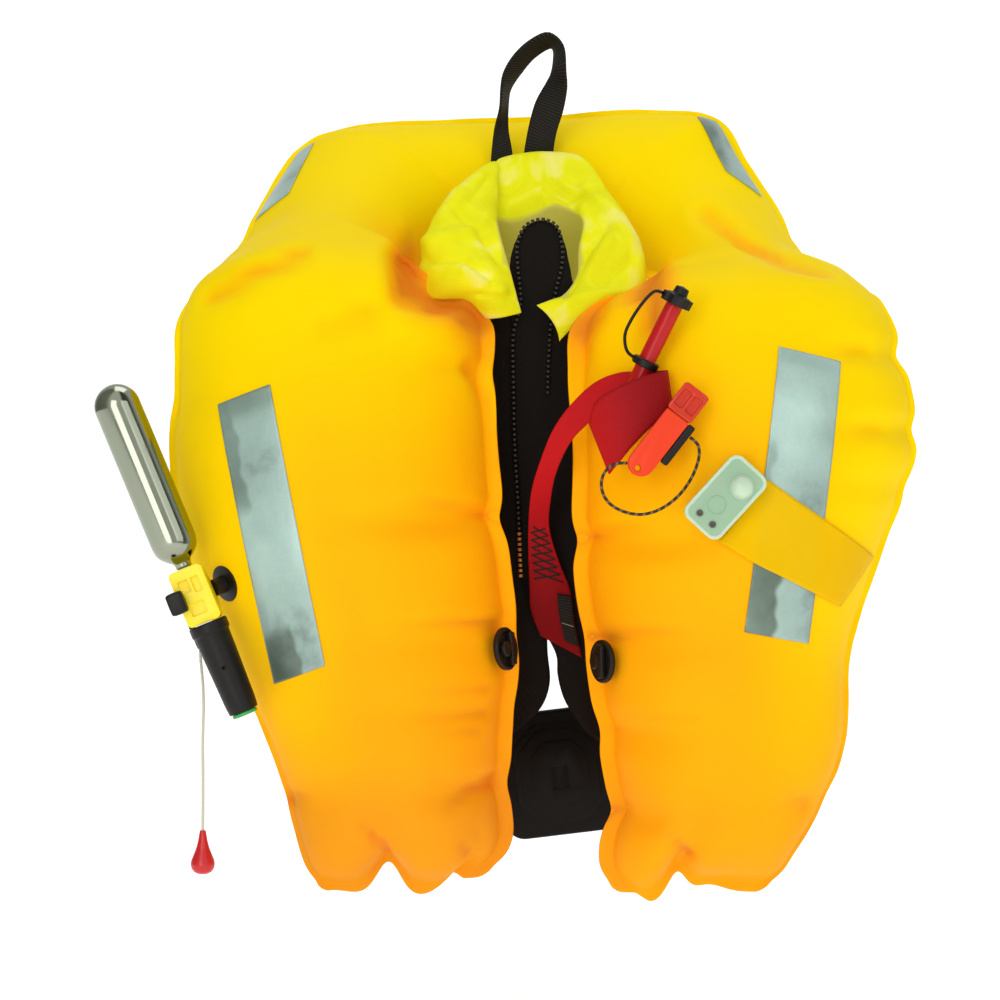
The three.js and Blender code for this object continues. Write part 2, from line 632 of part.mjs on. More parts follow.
// Point and outward direction of a lobe's front at a given place across and up
function lobePoint(side, x, z) {
  let [low, high] = side === "left" ? LEFT_LOBE_ROWS : RIGHT_LOBE_ROWS;
  for (let i = 0; i < 40; i += 1) {
    const middle = (low + high) / 2;
    sectionAt(middle).centre.z < z ? (low = middle) : (high = middle);
  }
  const section = sectionAt((low + high) / 2);
  const share = ((x - section.centre.x) * section.across.x) / section.half;
  const point = bladderPoint(section, THREE.MathUtils.clamp(share, -1, 1), 1);
  return new THREE.Vector3(x, point.y, z);
}

function lobeSeat(side, x, z) {
  const reach = 3;
  const dx = lobePoint(side, x + reach, z).sub(lobePoint(side, x - reach, z));
  const dz = lobePoint(side, x, z + reach).sub(lobePoint(side, x, z - reach));
  return { point: lobePoint(side, x, z), normal: dx.cross(dz).normalize() };
}

// How far a piece goes along a direction until it lies the seat gap from what carries it
function wayToSeat(geometry, carriers, direction, gap = SEAT_GAP) {
  const way = direction.clone().normalize();
  const ray = new THREE.Raycaster();
  const meshes = carriers.map((carrier) => new THREE.Mesh(carrier, SEAT_SIDES));
  const own = new THREE.Mesh(geometry, SEAT_SIDES);
  let nearest = Infinity;
  const look = (from, along, targets) => {
    const points = from.getAttribute("position");
    for (let i = 0; i < points.count; i += 1) {
      ray.set(new THREE.Vector3().fromBufferAttribute(points, i), along);
      const [hit] = ray.intersectObjects(targets);
      nearest = Math.min(nearest, hit ? hit.distance : Infinity);
    }
  };
  look(geometry, way, meshes);
  carriers.forEach((carrier) => look(carrier, way.clone().negate(), [own]));
  return nearest - gap;
}

function seatedOn(carriers, geometry, direction, gap = SEAT_GAP) {
  const way = direction.clone().normalize();
  return geometry.clone().translate(...way.multiplyScalar(wayToSeat(geometry, carriers, way, gap)).toArray());
}

// A shape about +Y or +Z laid along a direction
function placedAlong(geometry, point, direction, axis = [0, 1, 0]) {
  const turn = new THREE.Quaternion().setFromUnitVectors(vec(axis), direction.clone().normalize());
  return geometry.clone().applyQuaternion(turn).translate(point.x, point.y, point.z);
}

const bladder = bladderBody();

function frontTape(side, corners) {
  const corner = ([x, z]) => new THREE.Vector2(x, z);
  const flat = (u, v) => {
    const top = corner(corners.top[0]).lerp(corner(corners.top[1]), u);
    return top.lerp(corner(corners.bottom[0]).lerp(corner(corners.bottom[1]), u), v);
  };
  const surface = (u, v) => {
    const { x, y } = flat(u, v);
    const seat = lobeSeat(side, x, y);
    return seat.point.addScaledVector(seat.normal, TAPE_GAP + TAPE_THICKNESS / 2);
  };
  const middle = flat(0.5, 0.5);
  const inward = lobeSeat(side, middle.x, middle.y).normal.negate();
  return seatedOn([bladder], sheet(3, 11, surface, TAPE_THICKNESS), inward);
}

function neckTape({ from, to, share }) {
  const place = (u, v) => {
    const across = THREE.MathUtils.lerp(share[0], share[1], u);
    return bladderPoint(sectionAt(THREE.MathUtils.lerp(from, to, v)), across, 1);
  };
  const outward = (u, v) => {
    const step = 0.01;
    const du = place(u + step, v).sub(place(u - step, v));
    return place(u, v + step).sub(place(u, v - step)).cross(du).normalize();
  };
  const surface = (u, v) => place(u, v).addScaledVector(outward(u, v), TAPE_GAP + TAPE_THICKNESS / 2);
  return seatedOn([bladder], sheet(3, 5, surface, TAPE_THICKNESS), outward(0.5, 0.5).negate(), SLANT_GAP);
}

function collarBody() {
  const edge = (key) => curveOf(COLLAR_ROWS.map((row) => row[key]));
  const [inner, ridge, outer] = ["inner", "ridge", "outer"].map(edge);
  const surface = (u, v) => {
    const [low, top, hem] = [inner, ridge, outer].map((curve) => curve.getPoint(v));
    const middle = low.clone().add(hem).multiplyScalar(0.5);
    const over = low.lerp(hem, (1 - Math.cos(Math.PI * u)) / 2);
    return over.addScaledVector(top.sub(middle), Math.sin(Math.PI * u));
  };
  return sheet(COLLAR_ACROSS, COLLAR_STEPS, surface, COLLAR_WALL);
}

function coverDepth(x) {
  const share = THREE.MathUtils.clamp((Math.abs(x) - COVER_FLAT) / (COVER_TURN - COVER_FLAT), 0, 1);
  return COVER_VALLEY + (COVER_PLANE - COVER_VALLEY) * Math.sin((Math.PI / 2) * share) ** 1.4;
}

function coverBody(rows, stepBack) {
  const edges = new THREE.CatmullRomCurve3(rows.map((row) => new THREE.Vector3(row.inner, row.outer, row.z)));
  const surface = (u, v) => {
    const edge = edges.getPoint(v);
    const x = edge.x + (edge.y - edge.x) * u;
    return new THREE.Vector3(x, coverDepth(x) + stepBack, edge.z);
  };
  return sheet(6, 13, surface, COVER_THICKNESS);
}

// Zip row: a narrow ridge along the tongue's edge
function zipBody() {
  const down = COVER_RIGHT_ROWS.filter((row) => row.z >= ZIP.downTo).map((row) => [row.inner, row.z]);
  const right = COVER_RIGHT_ROWS.filter((row) => row.z >= ZIP.upTo).map((row) => [row.outer, row.z]);
  const lift = COVER_THICKNESS / 2 + ZIP.gap;
  const path = curveOf([...down.reverse(), ...right].map(([x, z]) => [x, coverDepth(x) - lift, z]));
  const rings = [];
  for (let i = 0; i <= ZIP.steps; i += 1) {
    const point = path.getPointAt(i / ZIP.steps);
    const tangent = path.getTangentAt(i / ZIP.steps);
    const inward = new THREE.Vector3(tangent.z, 0, -tangent.x).normalize();
    const corner = (out, up) => point.clone().addScaledVector(inward, out).add(new THREE.Vector3(0, -up, 0));
    const [w, t] = [ZIP.width / 2, ZIP.height];
    rings.push([corner(-w, 0), corner(w, 0), corner(w * 0.7, t), corner(-w * 0.7, t)]);
  }
  return loft(rings);
}

function lightStrap(tape) {
  const edge = (key) => curveOf(LIGHT_STRAP_ROWS.map((row) => [row[key][0], 0, row[key][1]]));
  const [top, bottom] = ["top", "bottom"].map(edge);
  const seatAt = (u, v) => {
    const flat = top.getPoint(v).lerp(bottom.getPoint(v), u);
    return lobeSeat("right", flat.x, flat.z);
  };
  const surface = (u, v) => {
    const seat = seatAt(u, v);
    return seat.point.addScaledVector(seat.normal, LIGHT_STRAP_GAP);
  };
  const film = sheet(5, 6, surface, LIGHT_STRAP_THICKNESS);
  return seatedOn([bladder, tape], film, seatAt(0.5, 0.5).normal.negate(), SLANT_GAP);
}

function beltBody(points) {
  const path = curveOf(points);
  const surface = (u, v) => path.getPoint(v).add(new THREE.Vector3(0, 0, BELT_HEIGHT * (u - 0.5)));
  return sheet(1, 16, surface, WEBBING);
}

// Oral tube: stands off the lobe, then leans along it
const oralSeat = lobeSeat("right", ORAL.x, ORAL.z);
const oralLean = vec(ORAL.lean).normalize();
const oralBend = oralSeat.point.clone().addScaledVector(oralSeat.normal, ORAL.rise);
const oralEnd = oralBend.clone().addScaledVector(oralLean, ORAL.length);

function oralTubeBody() {
  const start = oralSeat.point.clone().addScaledVector(oralSeat.normal, ORAL_FLANGE.gap);
  const corner = oralBend.clone().addScaledVector(oralLean, ORAL.turn);
  const elbow = new THREE.QuadraticBezierCurve3(start, oralBend, corner);
  const points = [...elbow.getPoints(6), corner.clone().lerp(oralEnd, 0.5), oralEnd];
  const line = new THREE.CatmullRomCurve3(points);
  const along = { steps: 8, extrudePath: line, bevelEnabled: false };
  const pipe = new THREE.ExtrudeGeometry(circle(ORAL.outer, SMALL_SIDES), along);
  const { radius, height } = ORAL_FLANGE;
  const plate = new THREE.CylinderGeometry(radius, radius, height, ROUND_SIDES).translate(0, height / 2, 0);
  const flange = placedAlong(plate, start, oralSeat.normal);
  return geometryOf(solidOf(pipe).add(solidOf(flange)).subtract(solidOf(boreAlong(line))));
}

// The bore runs a little past both ends of the tube
function boreAlong(line) {
  const past = 4;
  const points = line.getPoints(12);
  const first = points[0].clone().addScaledVector(line.getTangent(0), -past);
  const last = points.at(-1).clone().addScaledVector(oralLean, past);
  const path = new THREE.CatmullRomCurve3([first, ...points, last]);
  const along = { steps: 8, extrudePath: path, bevelEnabled: false };
  return new THREE.ExtrudeGeometry(circle(ORAL.bore, 8), along);
}

// A cup over the tube's end with ribs round it and a nub on top
function oralCapBody() {
  const { radius, edge, skirt, ribs, rib, ribHeight, nub, nubHeight } = ORAL_CAP;
  const inside = ORAL.outer + SEAT_GAP;
  const cup = turned([[0, SEAT_GAP], [inside, SEAT_GAP], [inside, -skirt], [radius - edge, -skirt],
    [radius, edge - skirt], [radius, edge], [radius - edge, 2 * edge], [nub, 3 * edge],
    [nub - edge, nubHeight - edge], [0, nubHeight]], SMALL_SIDES);
  let body = solidOf(cup);
  for (let i = 0; i < ribs; i += 1) {
    const lug = new THREE.CylinderGeometry(rib, rib, ribHeight, 5).rotateX(Math.PI / 2);
    lug.translate(radius, 0, (edge - skirt) / 2).rotateZ((2 * Math.PI * i) / ribs);
    body = body.add(solidOf(lug));
  }
  return geometryOf(body);
}

// Tether: a ring on the tube and a bowed strip up to the cap
function tetherBody() {
  const { width, thickness, ringOuter, ringHeight, ringAt, bow } = TETHER;
  const inside = ORAL.outer + SEAT_GAP;
  const profile = [[inside, 0], [ringOuter, 0], [ringOuter, ringHeight], [inside, ringHeight], [inside, 0]];
  const outline = profile.map(([r, z]) => new THREE.Vector2(r, z));
  const ring = closedFrom(new THREE.LatheGeometry(outline, ROUND_SIDES).rotateX(Math.PI / 2));
  ring.translate(0, 0, ringAt);
  const path = curveOf(bow.map(({ out, up }) => [-out, 0, ringAt + up]));
  const across = (u) => new THREE.Vector3(0, width * (u - 0.5), 0);
  const strip = sheet(1, 13, (u, v) => path.getPoint(v).add(across(u)), thickness);
  return geometryOf(solidOf(ring).add(solidOf(strip)));
}

function whistleShape(width, from, to, round) {
  const shape = new THREE.Shape();
  const w = width / 2;
  shape.moveTo(w, to);
  shape.lineTo(-w, to);
  shape.lineTo(-w, from + (round ? w : 0));
  if (round) {
    shape.absarc(0, from + w, w, Math.PI, 2 * Math.PI);
  } else {
    shape.lineTo(w, from);
  }
  shape.closePath();
  return shape;
}

const upright = (geometry) => geometry.rotateX(Math.PI / 2);

function whistlePieces() {
  const { width, depth, body, mouth, bevel, eye, window, slot } = WHISTLE;
  const low = -(body + mouth) / 2;
  const join = low + body;
  const lipsAt = join + mouth / 2;
  const barrel = upright(raised(whistleShape(width, low, join - SEAT_GAP, true), depth, bevel));
  const hole = new THREE.CylinderGeometry(eye.radius, eye.radius, 2 * depth, 10);
  hole.translate(0, 0, low + eye.up);
  const mouthSlot = new THREE.BoxGeometry(window.width, 2 * window.depth, window.height);
  mouthSlot.translate(0, -depth / 2, join - window.down);
  const lips = upright(raised(roundedRectangle(width + 2, mouth - SEAT_GAP, 3), depth - 1, bevel));
  let mouthpiece = solidOf(lips.translate(0, 0, lipsAt));
  for (const share of [-1, 1]) {
    const cut = new THREE.BoxGeometry(slot.width, 2 * slot.depth, slot.height);
    mouthpiece = mouthpiece.subtract(solidOf(cut.translate((share * slot.spacing) / 2, -depth / 2, lipsAt)));
  }
  const grip = WHISTLE_CLIP;
  const clip = new RoundedBoxGeometry(grip.width, grip.depth, grip.length, 1, 1.5)
    .translate(width / 2 + grip.width / 2 + SEAT_GAP, 0, low + grip.up);
  return {
    body: geometryOf(solidOf(barrel).subtract(solidOf(hole)).subtract(solidOf(mouthSlot))),
    mouthpiece: geometryOf(mouthpiece),
    clip,
  };
}

function lightPieces() {
  const { length, width, depth, corner, bevel } = LIGHT;
  const shell = upright(raised(roundedRectangle(width, length, corner), depth, bevel));
  const front = -depth / 2 - SEAT_GAP;
  const { along, across, radius, rise } = LIGHT_DOME;
  const arc = (turn) => [radius * Math.cos(turn), rise * Math.sin(turn)];
  const dome = turned([[0, 0], ...[0, 0.4, 0.8, 1.2].map(arc), [0, rise]], ROUND_SIDES)
    .rotateX(Math.PI / 2)
    .translate(across, front, along);
  const pins = LIGHT_CONTACTS;
  const bridge = new THREE.BoxGeometry(pins.spacing, pins.bridge, 2 * pins.bridge);
  let contacts = solidOf(bridge.translate(0, -pins.bridge / 2, 0));
  for (const side of [-0.5, 0.5]) {
    const pin = new THREE.CylinderGeometry(pins.radius, pins.radius, pins.height, SMALL_SIDES);
    contacts = contacts.add(solidOf(pin.translate(side * pins.spacing, -pins.height / 2, 0)));
  }
  return { shell, dome, contacts: geometryOf(contacts).translate(0, front, pins.along) };
}

function cylinderBody() {
  const { radius, top, dome, shoulder, slope, neck, neckLength, foot } = CYLINDER;
  const arc = (turn) => [radius * Math.cos(turn), top - dome + dome * Math.sin(turn)];
  const collar = foot + neckLength;
  return turned([[0, foot], [neck, foot], [neck, collar], [neck + slope / 2, collar + 2],
    [radius - slope / 2, shoulder], [radius, shoulder + slope], ...[0, 0.35, 0.7, 1.05, 1.3].map(arc),
    [0, top]], ROUND_SIDES);
}

function inflatorBody() {
  const { width, depth, length, corner, bevel } = INFLATOR;
  let body = solidOf(upright(raised(roundedRectangle(width, length, corner), depth, bevel)));
  for (const { x, z, wide, high, deep } of INFLATOR_RECESSES) {
    body = body.subtract(solidOf(new THREE.BoxGeometry(wide, 2 * deep, high).translate(x, -depth / 2, z)));
  }
  return geometryOf(body);
}

function inflatorCap() {
  const { from, to, wide, edge, collar, waist, narrow, hole } = CAP;
  const body = solidOf(turned([[0, from], [wide - edge, from], [wide, from - edge], [wide, from - collar],
    [waist, from - collar - edge], [waist, from - 3 * collar], [narrow + edge, to + collar], [narrow, to],
    [0, to]], ROUND_SIDES));
  const pit = new THREE.CylinderGeometry(hole.radius, hole.radius, 2 * hole.depth, 8);
  return geometryOf(body.subtract(solidOf(pit.translate(0, -waist, hole.at))));
}

// Stem between the lobe and the inflator, in the part's frame
const inflatorSeat = lobeSeat("left", ...INFLATOR.seat);
const inflatorAt = inflatorSeat.point.clone().addScaledVector(inflatorSeat.normal, INFLATOR.standoff);

function stemBody() {
  const { radius, flange, flangeHeight, start } = STEM;
  const end = INFLATOR.standoff - STEM.clear;
  const top = start + flangeHeight;
  const profile = [[0, start], [flange, start], [flange, top], [radius, top + 1], [radius, end], [0, end]];
  return placedAlong(turned(profile, ROUND_SIDES), inflatorSeat.point, inflatorSeat.normal, [0, 0, 1]);
}

// A drop that widens downward from the cord's end
function beadBody() {
  const { length, radius, tip, waist } = BEAD;
  const [x, y, z] = PULL_CORD_POINTS.at(-1);
  const belly = length - radius;
  const arc = (turn) => [radius * Math.cos(turn), -belly - radius * Math.sin(turn)];
  const profile = [[0, 0], [tip, 0], [waist, -belly / 2], ...[-0.3, 0, 0.4, 0.8, 1.2].map(arc), [0, -length]];
  return turned(profile, SMALL_SIDES).translate(x, y, z - SEAT_GAP);
}

function studBody({ point, normal }) {
  const { boss, bossHeight, plate, plateHeight, neck, neckHeight, head, headHeight, edge, standoff } = STUD;
  const rim = bossHeight + plateHeight;
  const waist = rim + neckHeight;
  const top = waist + headHeight;
  const body = turned([[0, 0], [boss, 0], [boss, bossHeight], [plate, bossHeight], [plate, rim], [neck, rim],
    [neck, waist], [head, waist], [head, top - edge], [head - edge, top], [0, top]], SMALL_SIDES);
  const start = point.clone().addScaledVector(normal, standoff);
  return seatedOn([bladder], placedAlong(body, start, normal, [0, 0, 1]), normal.clone().negate());
}

function chamfered(width, height, cut) {
  const shape = new THREE.Shape();
  const [w, h] = [width / 2, height / 2];
  shape.moveTo(-w + cut, -h);
  shape.lineTo(w - cut, -h);
  shape.lineTo(w, -h + cut);
  shape.lineTo(w, h - cut);
  shape.lineTo(w - cut, h);
  shape.lineTo(-w + cut, h);
  shape.lineTo(-w, h - cut);
  shape.lineTo(-w, -h + cut);
  shape.closePath();
  return shape;
}

function padBody() {
  const { width, height, depth, corner, bevel } = PAD;
  const front = -depth / 2;
  let body = solidOf(upright(raised(roundedRectangle(width, height, corner), depth, bevel)));
  const { width: wide, height: high, chamfer, band, rise } = PAD_RELIEF;
  const frame = upright(raised(chamfered(wide, high, chamfer), 2 * rise)).translate(0, front, 0);
  const inside = chamfered(wide - 2 * band, high - 2 * band, chamfer - band / 2);
  const field = upright(raised(inside, 2 * rise)).translate(0, front - rise, 0);
  body = body.add(solidOf(frame).subtract(solidOf(field)));
  for (const side of [-0.5, 0.5]) {
    const slot = new THREE.BoxGeometry(PAD_SLOTS.width, 2 * PAD_SLOTS.depth, PAD_SLOTS.height);
    body = body.subtract(solidOf(slot.translate(side * PAD_SLOTS.spacing, front, PAD_SLOTS.drop)));
  }
  return geometryOf(body);
}

// Colour, roughness and metalness of each finish
const FINISHES = {
  bladder: ["#fcbe18", 0.45, 0],
  tape: ["#93aaa1", 0.35, 0.2],
  collar: ["#eae812", 0.8, 0],
  cloth: ["#15120f", 0.85, 0],
  webbing: ["#191714", 0.8, 0],
  red_webbing: ["#c41d26", 0.75, 0],
  red_plastic: ["#c8141c", 0.4, 0],
  black_plastic: ["#1c1a18", 0.45, 0],
  orange_plastic: ["#f04a24", 0.4, 0],
  mouthpiece: ["#e0361f", 0.3, 0],
  cord: ["#2a2318", 0.8, 0],
  light: ["#b4cfae", 0.25, 0],
  film: ["#e9b420", 0.35, 0],
  steel: ["#d3d6d2", 0.12, 1],
  yellow_plastic: ["#ffe40c", 0.45, 0],
  green_plastic: ["#2fa84a", 0.45, 0],
  white_cord: ["#cfcdb8", 0.85, 0],
  contact: ["#5c5a4c", 0.3, 1],
};

const block = ({ at, size, round }) => new RoundedBoxGeometry(...size, 1, round).translate(...at);

function piece(name, geometry, finish) {
  const [color, roughness, metalness] = FINISHES[finish];
  const material = new THREE.MeshStandardMaterial({ color, roughness, metalness });
  const mesh = new THREE.Mesh(welded(geometry), material);
  mesh.name = name;
  return mesh;
}

function groupOf(name, position, meshes) {
  const group = new THREE.Group();
  group.name = name;
  group.position.copy(position);
  group.add(...meshes);
  return group;
}

// The whole stands with the middle of the neck hole over the origin
const NECK_CENTRE = 90;
const jacket = new THREE.Group();
jacket.position.y = -NECK_CENTRE;
jacket.name = "harness_life_jacket";

const tapeRight = frontTape("right", FRONT_TAPES.right);
const filmStrap = lightStrap(tapeRight);
const oralWay = wayToSeat(oralTubeBody(), [bladder], oralSeat.normal.clone().negate());
const oralShift = oralSeat.normal.clone().multiplyScalar(-oralWay);
const stemWay = wayToSeat(stemBody(), [bladder], inflatorSeat.normal.clone().negate(), SLANT_GAP);
const stemShift = inflatorSeat.normal.clone().multiplyScalar(-stemWay);

jacket.add(
  piece("bladder", bladder, "bladder"),
  piece("reflective_tape_front_left", frontTape("left", FRONT_TAPES.left), "tape"),
  piece("reflective_tape_front_right", tapeRight, "tape"),
  piece("reflective_tape_neck_left", neckTape(NECK_TAPES.left), "tape"),
  piece("reflective_tape_neck_right", neckTape(NECK_TAPES.right), "tape"),
  piece("collar", collarBody(), "collar"),
  piece("cover_left", coverBody(COVER_LEFT_ROWS, COVER_STEP_BACK), "cloth"),
  piece("cover_right", coverBody(COVER_RIGHT_ROWS, 0), "cloth"),
  piece("zip_row", zipBody(), "black_plastic"),
  piece("lifting_loop", webbing(LOOP_ROWS, LOOP_STEPS, WEBBING), "webbing"),
  piece("lifting_strap", webbing(STRAP_ROWS, STRAP_STEPS, WEBBING), "red_webbing"),
  piece("strap_end", strapEnd(), "webbing"),
  piece("light_strap", filmStrap, "film"),
  piece("waist_belt_left", beltBody(BELT_ROWS.left), "webbing"),
  piece("waist_belt_right", beltBody(BELT_ROWS.right), "webbing"),
  piece("oral_tube", oralTubeBody().translate(...oralShift.toArray()), "red_plastic"),
  piece("whistle_cord", tube(WHISTLE_CORD_POINTS, CORD_RADIUS, 8, 30), "cord"),
  piece("inflator_stem", stemBody().translate(...stemShift.toArray()), "black_plastic"),
  piece("pull_cord", tube(PULL_CORD_POINTS, PULL_CORD_RADIUS, 8, 22), "white_cord"),
  piece("pull_bead", beadBody(), "red_plastic"),
);

// The cap stands along the leaning tube
const oralGroup = groupOf("oral_valve", oralBend.clone().add(oralShift), [
  piece("oral_cap", oralCapBody().translate(0, 0, ORAL.length), "black_plastic"),
  piece("cap_tether", tetherBody(), "black_plastic"),
]);
oralGroup.quaternion.setFromUnitVectors(new THREE.Vector3(0, 0, 1), oralLean);
jacket.add(oralGroup);

const whistle = whistlePieces();
const whistleGroup = groupOf("whistle", vec(WHISTLE.at), [
  piece("whistle_body", whistle.body, "orange_plastic"),
  piece("whistle_mouthpiece", whistle.mouthpiece, "mouthpiece"),
  piece("whistle_clip", whistle.clip, "black_plastic"),
]);
whistleGroup.rotation.y = WHISTLE.lean;
jacket.add(whistleGroup);

const light = lightPieces();
const lightGroup = groupOf("rescue_light", vec(LIGHT.at), [
  piece("light_case", light.shell, "light"),
  piece("light_dome", light.dome, "light"),
  piece("light_contacts", light.contacts, "contact"),
]);
lightGroup.rotation.y = LIGHT.lean;
const caseInPlace = light.shell.clone().rotateY(LIGHT.lean).translate(...LIGHT.at);
lightGroup.position.y += wayToSeat(caseInPlace, [filmStrap, bladder], new THREE.Vector3(0, 1, 0));
jacket.add(lightGroup);

const greenEnd = new THREE.CylinderGeometry(INDICATOR.radius, INDICATOR.radius, INDICATOR.height, ROUND_SIDES)
  .rotateX(Math.PI / 2)
  .translate(0, 0, CAP.to - SEAT_GAP - INDICATOR.height / 2);
const inflatorGroup = groupOf("inflator", inflatorAt.clone().add(stemShift), [
  piece("gas_cylinder", cylinderBody(), "steel"),
  piece("inflator_body", inflatorBody(), "yellow_plastic"),
  piece("inflator_cap", inflatorCap(), "black_plastic"),
  piece("inflator_indicator", greenEnd, "green_plastic"),
  piece("inflator_knob", block(KNOB), "black_plastic"),
  piece("inflator_lever", block(LEVER), "black_plastic"),
]);
inflatorGroup.rotation.y = INFLATOR.lean;
jacket.add(inflatorGroup);

for (const { side, x, z } of STUD_SEATS) {
  jacket.add(piece(`seam_stud_${side}`, studBody(lobeSeat(side, x, z)), "black_plastic"));
}

const pad = piece("back_pad", padBody(), "black_plastic");
pad.position.set(...PAD.at);
pad.rotation.y = PAD.tilt;
jacket.add(pad);

export default jacket;
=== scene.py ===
"""Inflatable harness life jacket, shown upright as worn with nobody inside.

Metres, +Z up, the chest faces -Y and the origin is the middle of the neck hole.
"""
import math

import bmesh
import bpy
import numpy as np
from mathutils import Matrix, Quaternion, Vector
from mathutils.bvhtree import BVHTree


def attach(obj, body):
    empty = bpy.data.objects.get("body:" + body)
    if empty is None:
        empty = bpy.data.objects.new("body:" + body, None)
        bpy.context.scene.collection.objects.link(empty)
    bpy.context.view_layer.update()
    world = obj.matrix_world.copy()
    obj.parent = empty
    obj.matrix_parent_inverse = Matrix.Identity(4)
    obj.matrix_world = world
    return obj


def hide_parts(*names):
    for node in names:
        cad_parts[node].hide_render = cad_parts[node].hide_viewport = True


bl_info = {
    "name": "Harness life jacket",
    "version": (1, 0, 0),
    "blender": (4, 5, 0),
    "location": "3D View > Sidebar > Life jacket",
    "description": "Builds an inflated harness life jacket piece by piece",
    "category": "Object",
}

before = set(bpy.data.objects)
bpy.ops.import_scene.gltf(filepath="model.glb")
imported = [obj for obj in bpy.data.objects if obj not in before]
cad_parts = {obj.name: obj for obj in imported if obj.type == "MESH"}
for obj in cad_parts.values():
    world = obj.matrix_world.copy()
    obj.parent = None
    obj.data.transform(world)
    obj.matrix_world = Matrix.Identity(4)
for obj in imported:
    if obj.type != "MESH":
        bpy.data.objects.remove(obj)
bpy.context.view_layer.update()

MM = 0.001
BODY = "root"
# The neck hole's middle lies this far behind the lobes' seam plane, in millimetres
NECK_CENTRE = 90.0


def linear(code):
    """An sRGB hex colour as linear red, green, blue and alpha."""
    parts = [int(code[i:i + 2], 16) / 255 for i in (1, 3, 5)]
    return [c / 12.92 if c <= 0.04045 else ((c + 0.055) / 1.055) ** 2.4 for c in parts] + [1.0]


def colour_property(title, words, code):
    return bpy.props.FloatVectorProperty(
        name=title, description=words, subtype="COLOR", size=4, min=0, max=1, default=linear(code))


def size_property(title, words, value):
    return bpy.props.FloatProperty(
        name=title, description=words, subtype="DISTANCE", unit="LENGTH", default=value)


class JacketSizes(bpy.types.PropertyGroup):
    seam_width: size_property("Seam width", "Flat welded margin along the bladder's inner edges", 0.012)
    outer_seam: size_property("Outer seam", "Flat margin that shows along the bladder's outer edges", 0.005)
    tape_thickness: size_property("Tape thickness", "Reflective tape on the bladder", 0.0006)
    webbing_thickness: size_property("Webbing thickness", "Harness and lifting webbing", 0.0018)
    rib_pitch: size_property("Webbing rib pitch", "Distance between the webbing's ribs", 0.0024)
    zip_pitch: size_property("Zip tooth pitch", "Distance between two zip teeth", 0.0043)
    whistle_cord: size_property("Whistle cord", "Diameter of the braided whistle cord", 0.0024)
    pull_cord: size_property("Pull cord", "Diameter of the inflator's pull cord", 0.0022)


class JacketColours(bpy.types.PropertyGroup):
    bladder: colour_property("Bladder", "Coated nylon where light strikes it", "#FFE000")
    # Deep orange of the painted shade in the bladder's folds and lower parts
    bladder_shade: colour_property("Bladder in folds", "Coated nylon deep in its folds", "#D8741C")
    collar: colour_property("Collar", "Fluorescent collar cloth", "#F0EE14")
    # The lining's colour is its own pale cloth darkened with painted shade, as it lies under the fold
    lining: colour_property("Collar lining", "Inside of the collar", "#C9BF5A")
    cloth: colour_property("Harness cloth", "Black nylon of the fronts", "#14110E")
    webbing: colour_property("Webbing", "Black polyester webbing", "#1C1A16")
    red_webbing: colour_property("Lifting strap", "Red polyester webbing", "#CF1A22")
    tape: colour_property("Reflective tape", "Silver film", "#A9C4BA")
    whistle: colour_property("Whistle", "Orange-red moulding", "#EC3F1C")
    light: colour_property("Rescue light", "Pale green housing", "#A3C4A3")
    inflator: colour_property("Inflator", "Yellow moulding", "#FFE60A")
    red_plastic: colour_property("Oral tube and bead", "Red plastic", "#C4161B")


# Shared mesh helpers

# A tube's first side is square to this way, which no tube here starts along
TUBE_SIDE = (0.3, 0.9, 0.31)
# Smallest radius of a turned body's end, and points nearer than this are one, in metres
TINY_RADIUS, WELD_DISTANCE = 0.01, 2e-6
# A rounded corner takes no more than this share of either side of a profile; samples along a curve
MOST_ROUND, CURVE_SAMPLES = 0.45, 1200
# Turns a piece's own Z towards the viewer
FACING = Matrix.Rotation(math.pi / 2, 4, "X")


def metres(points):
    """Jacket millimetres, with the seam plane at y = 0, to the frame's metres."""
    return (np.asarray(points, float) + [0.0, -NECK_CENTRE, 0.0]) * MM


def spline(points, places):
    """Points of a centripetal Catmull-Rom curve; places run from 0 to 1, evenly by knot."""
    knots = np.asarray(points, float)
    padded = np.vstack([2 * knots[0] - knots[1], knots, 2 * knots[-1] - knots[-2]])
    at = np.clip(np.asarray(places, float), 0, 1) * (len(knots) - 1)
    first = np.minimum(at.astype(int), len(knots) - 2)
    w = (at - first)[:, None]
    p = [padded[first + k] for k in range(4)]
    gap = [np.maximum(((p[k + 1] - p[k]) ** 2).sum(1) ** 0.25, 1e-4)[:, None] for k in range(3)]
    start = (p[1] - p[0]) / gap[0] - (p[2] - p[0]) / (gap[0] + gap[1]) + (p[2] - p[1]) / gap[1]
    end = (p[2] - p[1]) / gap[1] - (p[3] - p[1]) / (gap[1] + gap[2]) + (p[3] - p[2]) / gap[2]
    start, end = start * gap[1], end * gap[1]
    return (p[1] + start * w + (3 * (p[2] - p[1]) - 2 * start - end) * w ** 2
            + (2 * (p[1] - p[2]) + start + end) * w ** 3)


def even_places(points, step):
    """Curve places about one step apart along the curve."""
    dense = np.linspace(0, 1, CURVE_SAMPLES)
    line = spline(points, dense)
    run = run_along(line)
    count = max(2, int(round(run[-1] / step)) + 1)
    return np.interp(np.linspace(0, run[-1], count), run, dense)


def smoothstep(low, high, x):
    t = np.clip((np.asarray(x, float) - low) / (high - low), 0, 1)
    return t * t * (3 - 2 * t)


def bell(distance, half):
    return np.exp(-(np.asarray(distance, float) / half) ** 2)


def unit(v):
    return v / np.maximum(np.linalg.norm(v, axis=-1, keepdims=True), 1e-12)


def run_along(line):
    """Distance of each point along a line from its start."""
    return np.concatenate([[0], np.cumsum(np.linalg.norm(np.diff(line, axis=0), axis=1))])


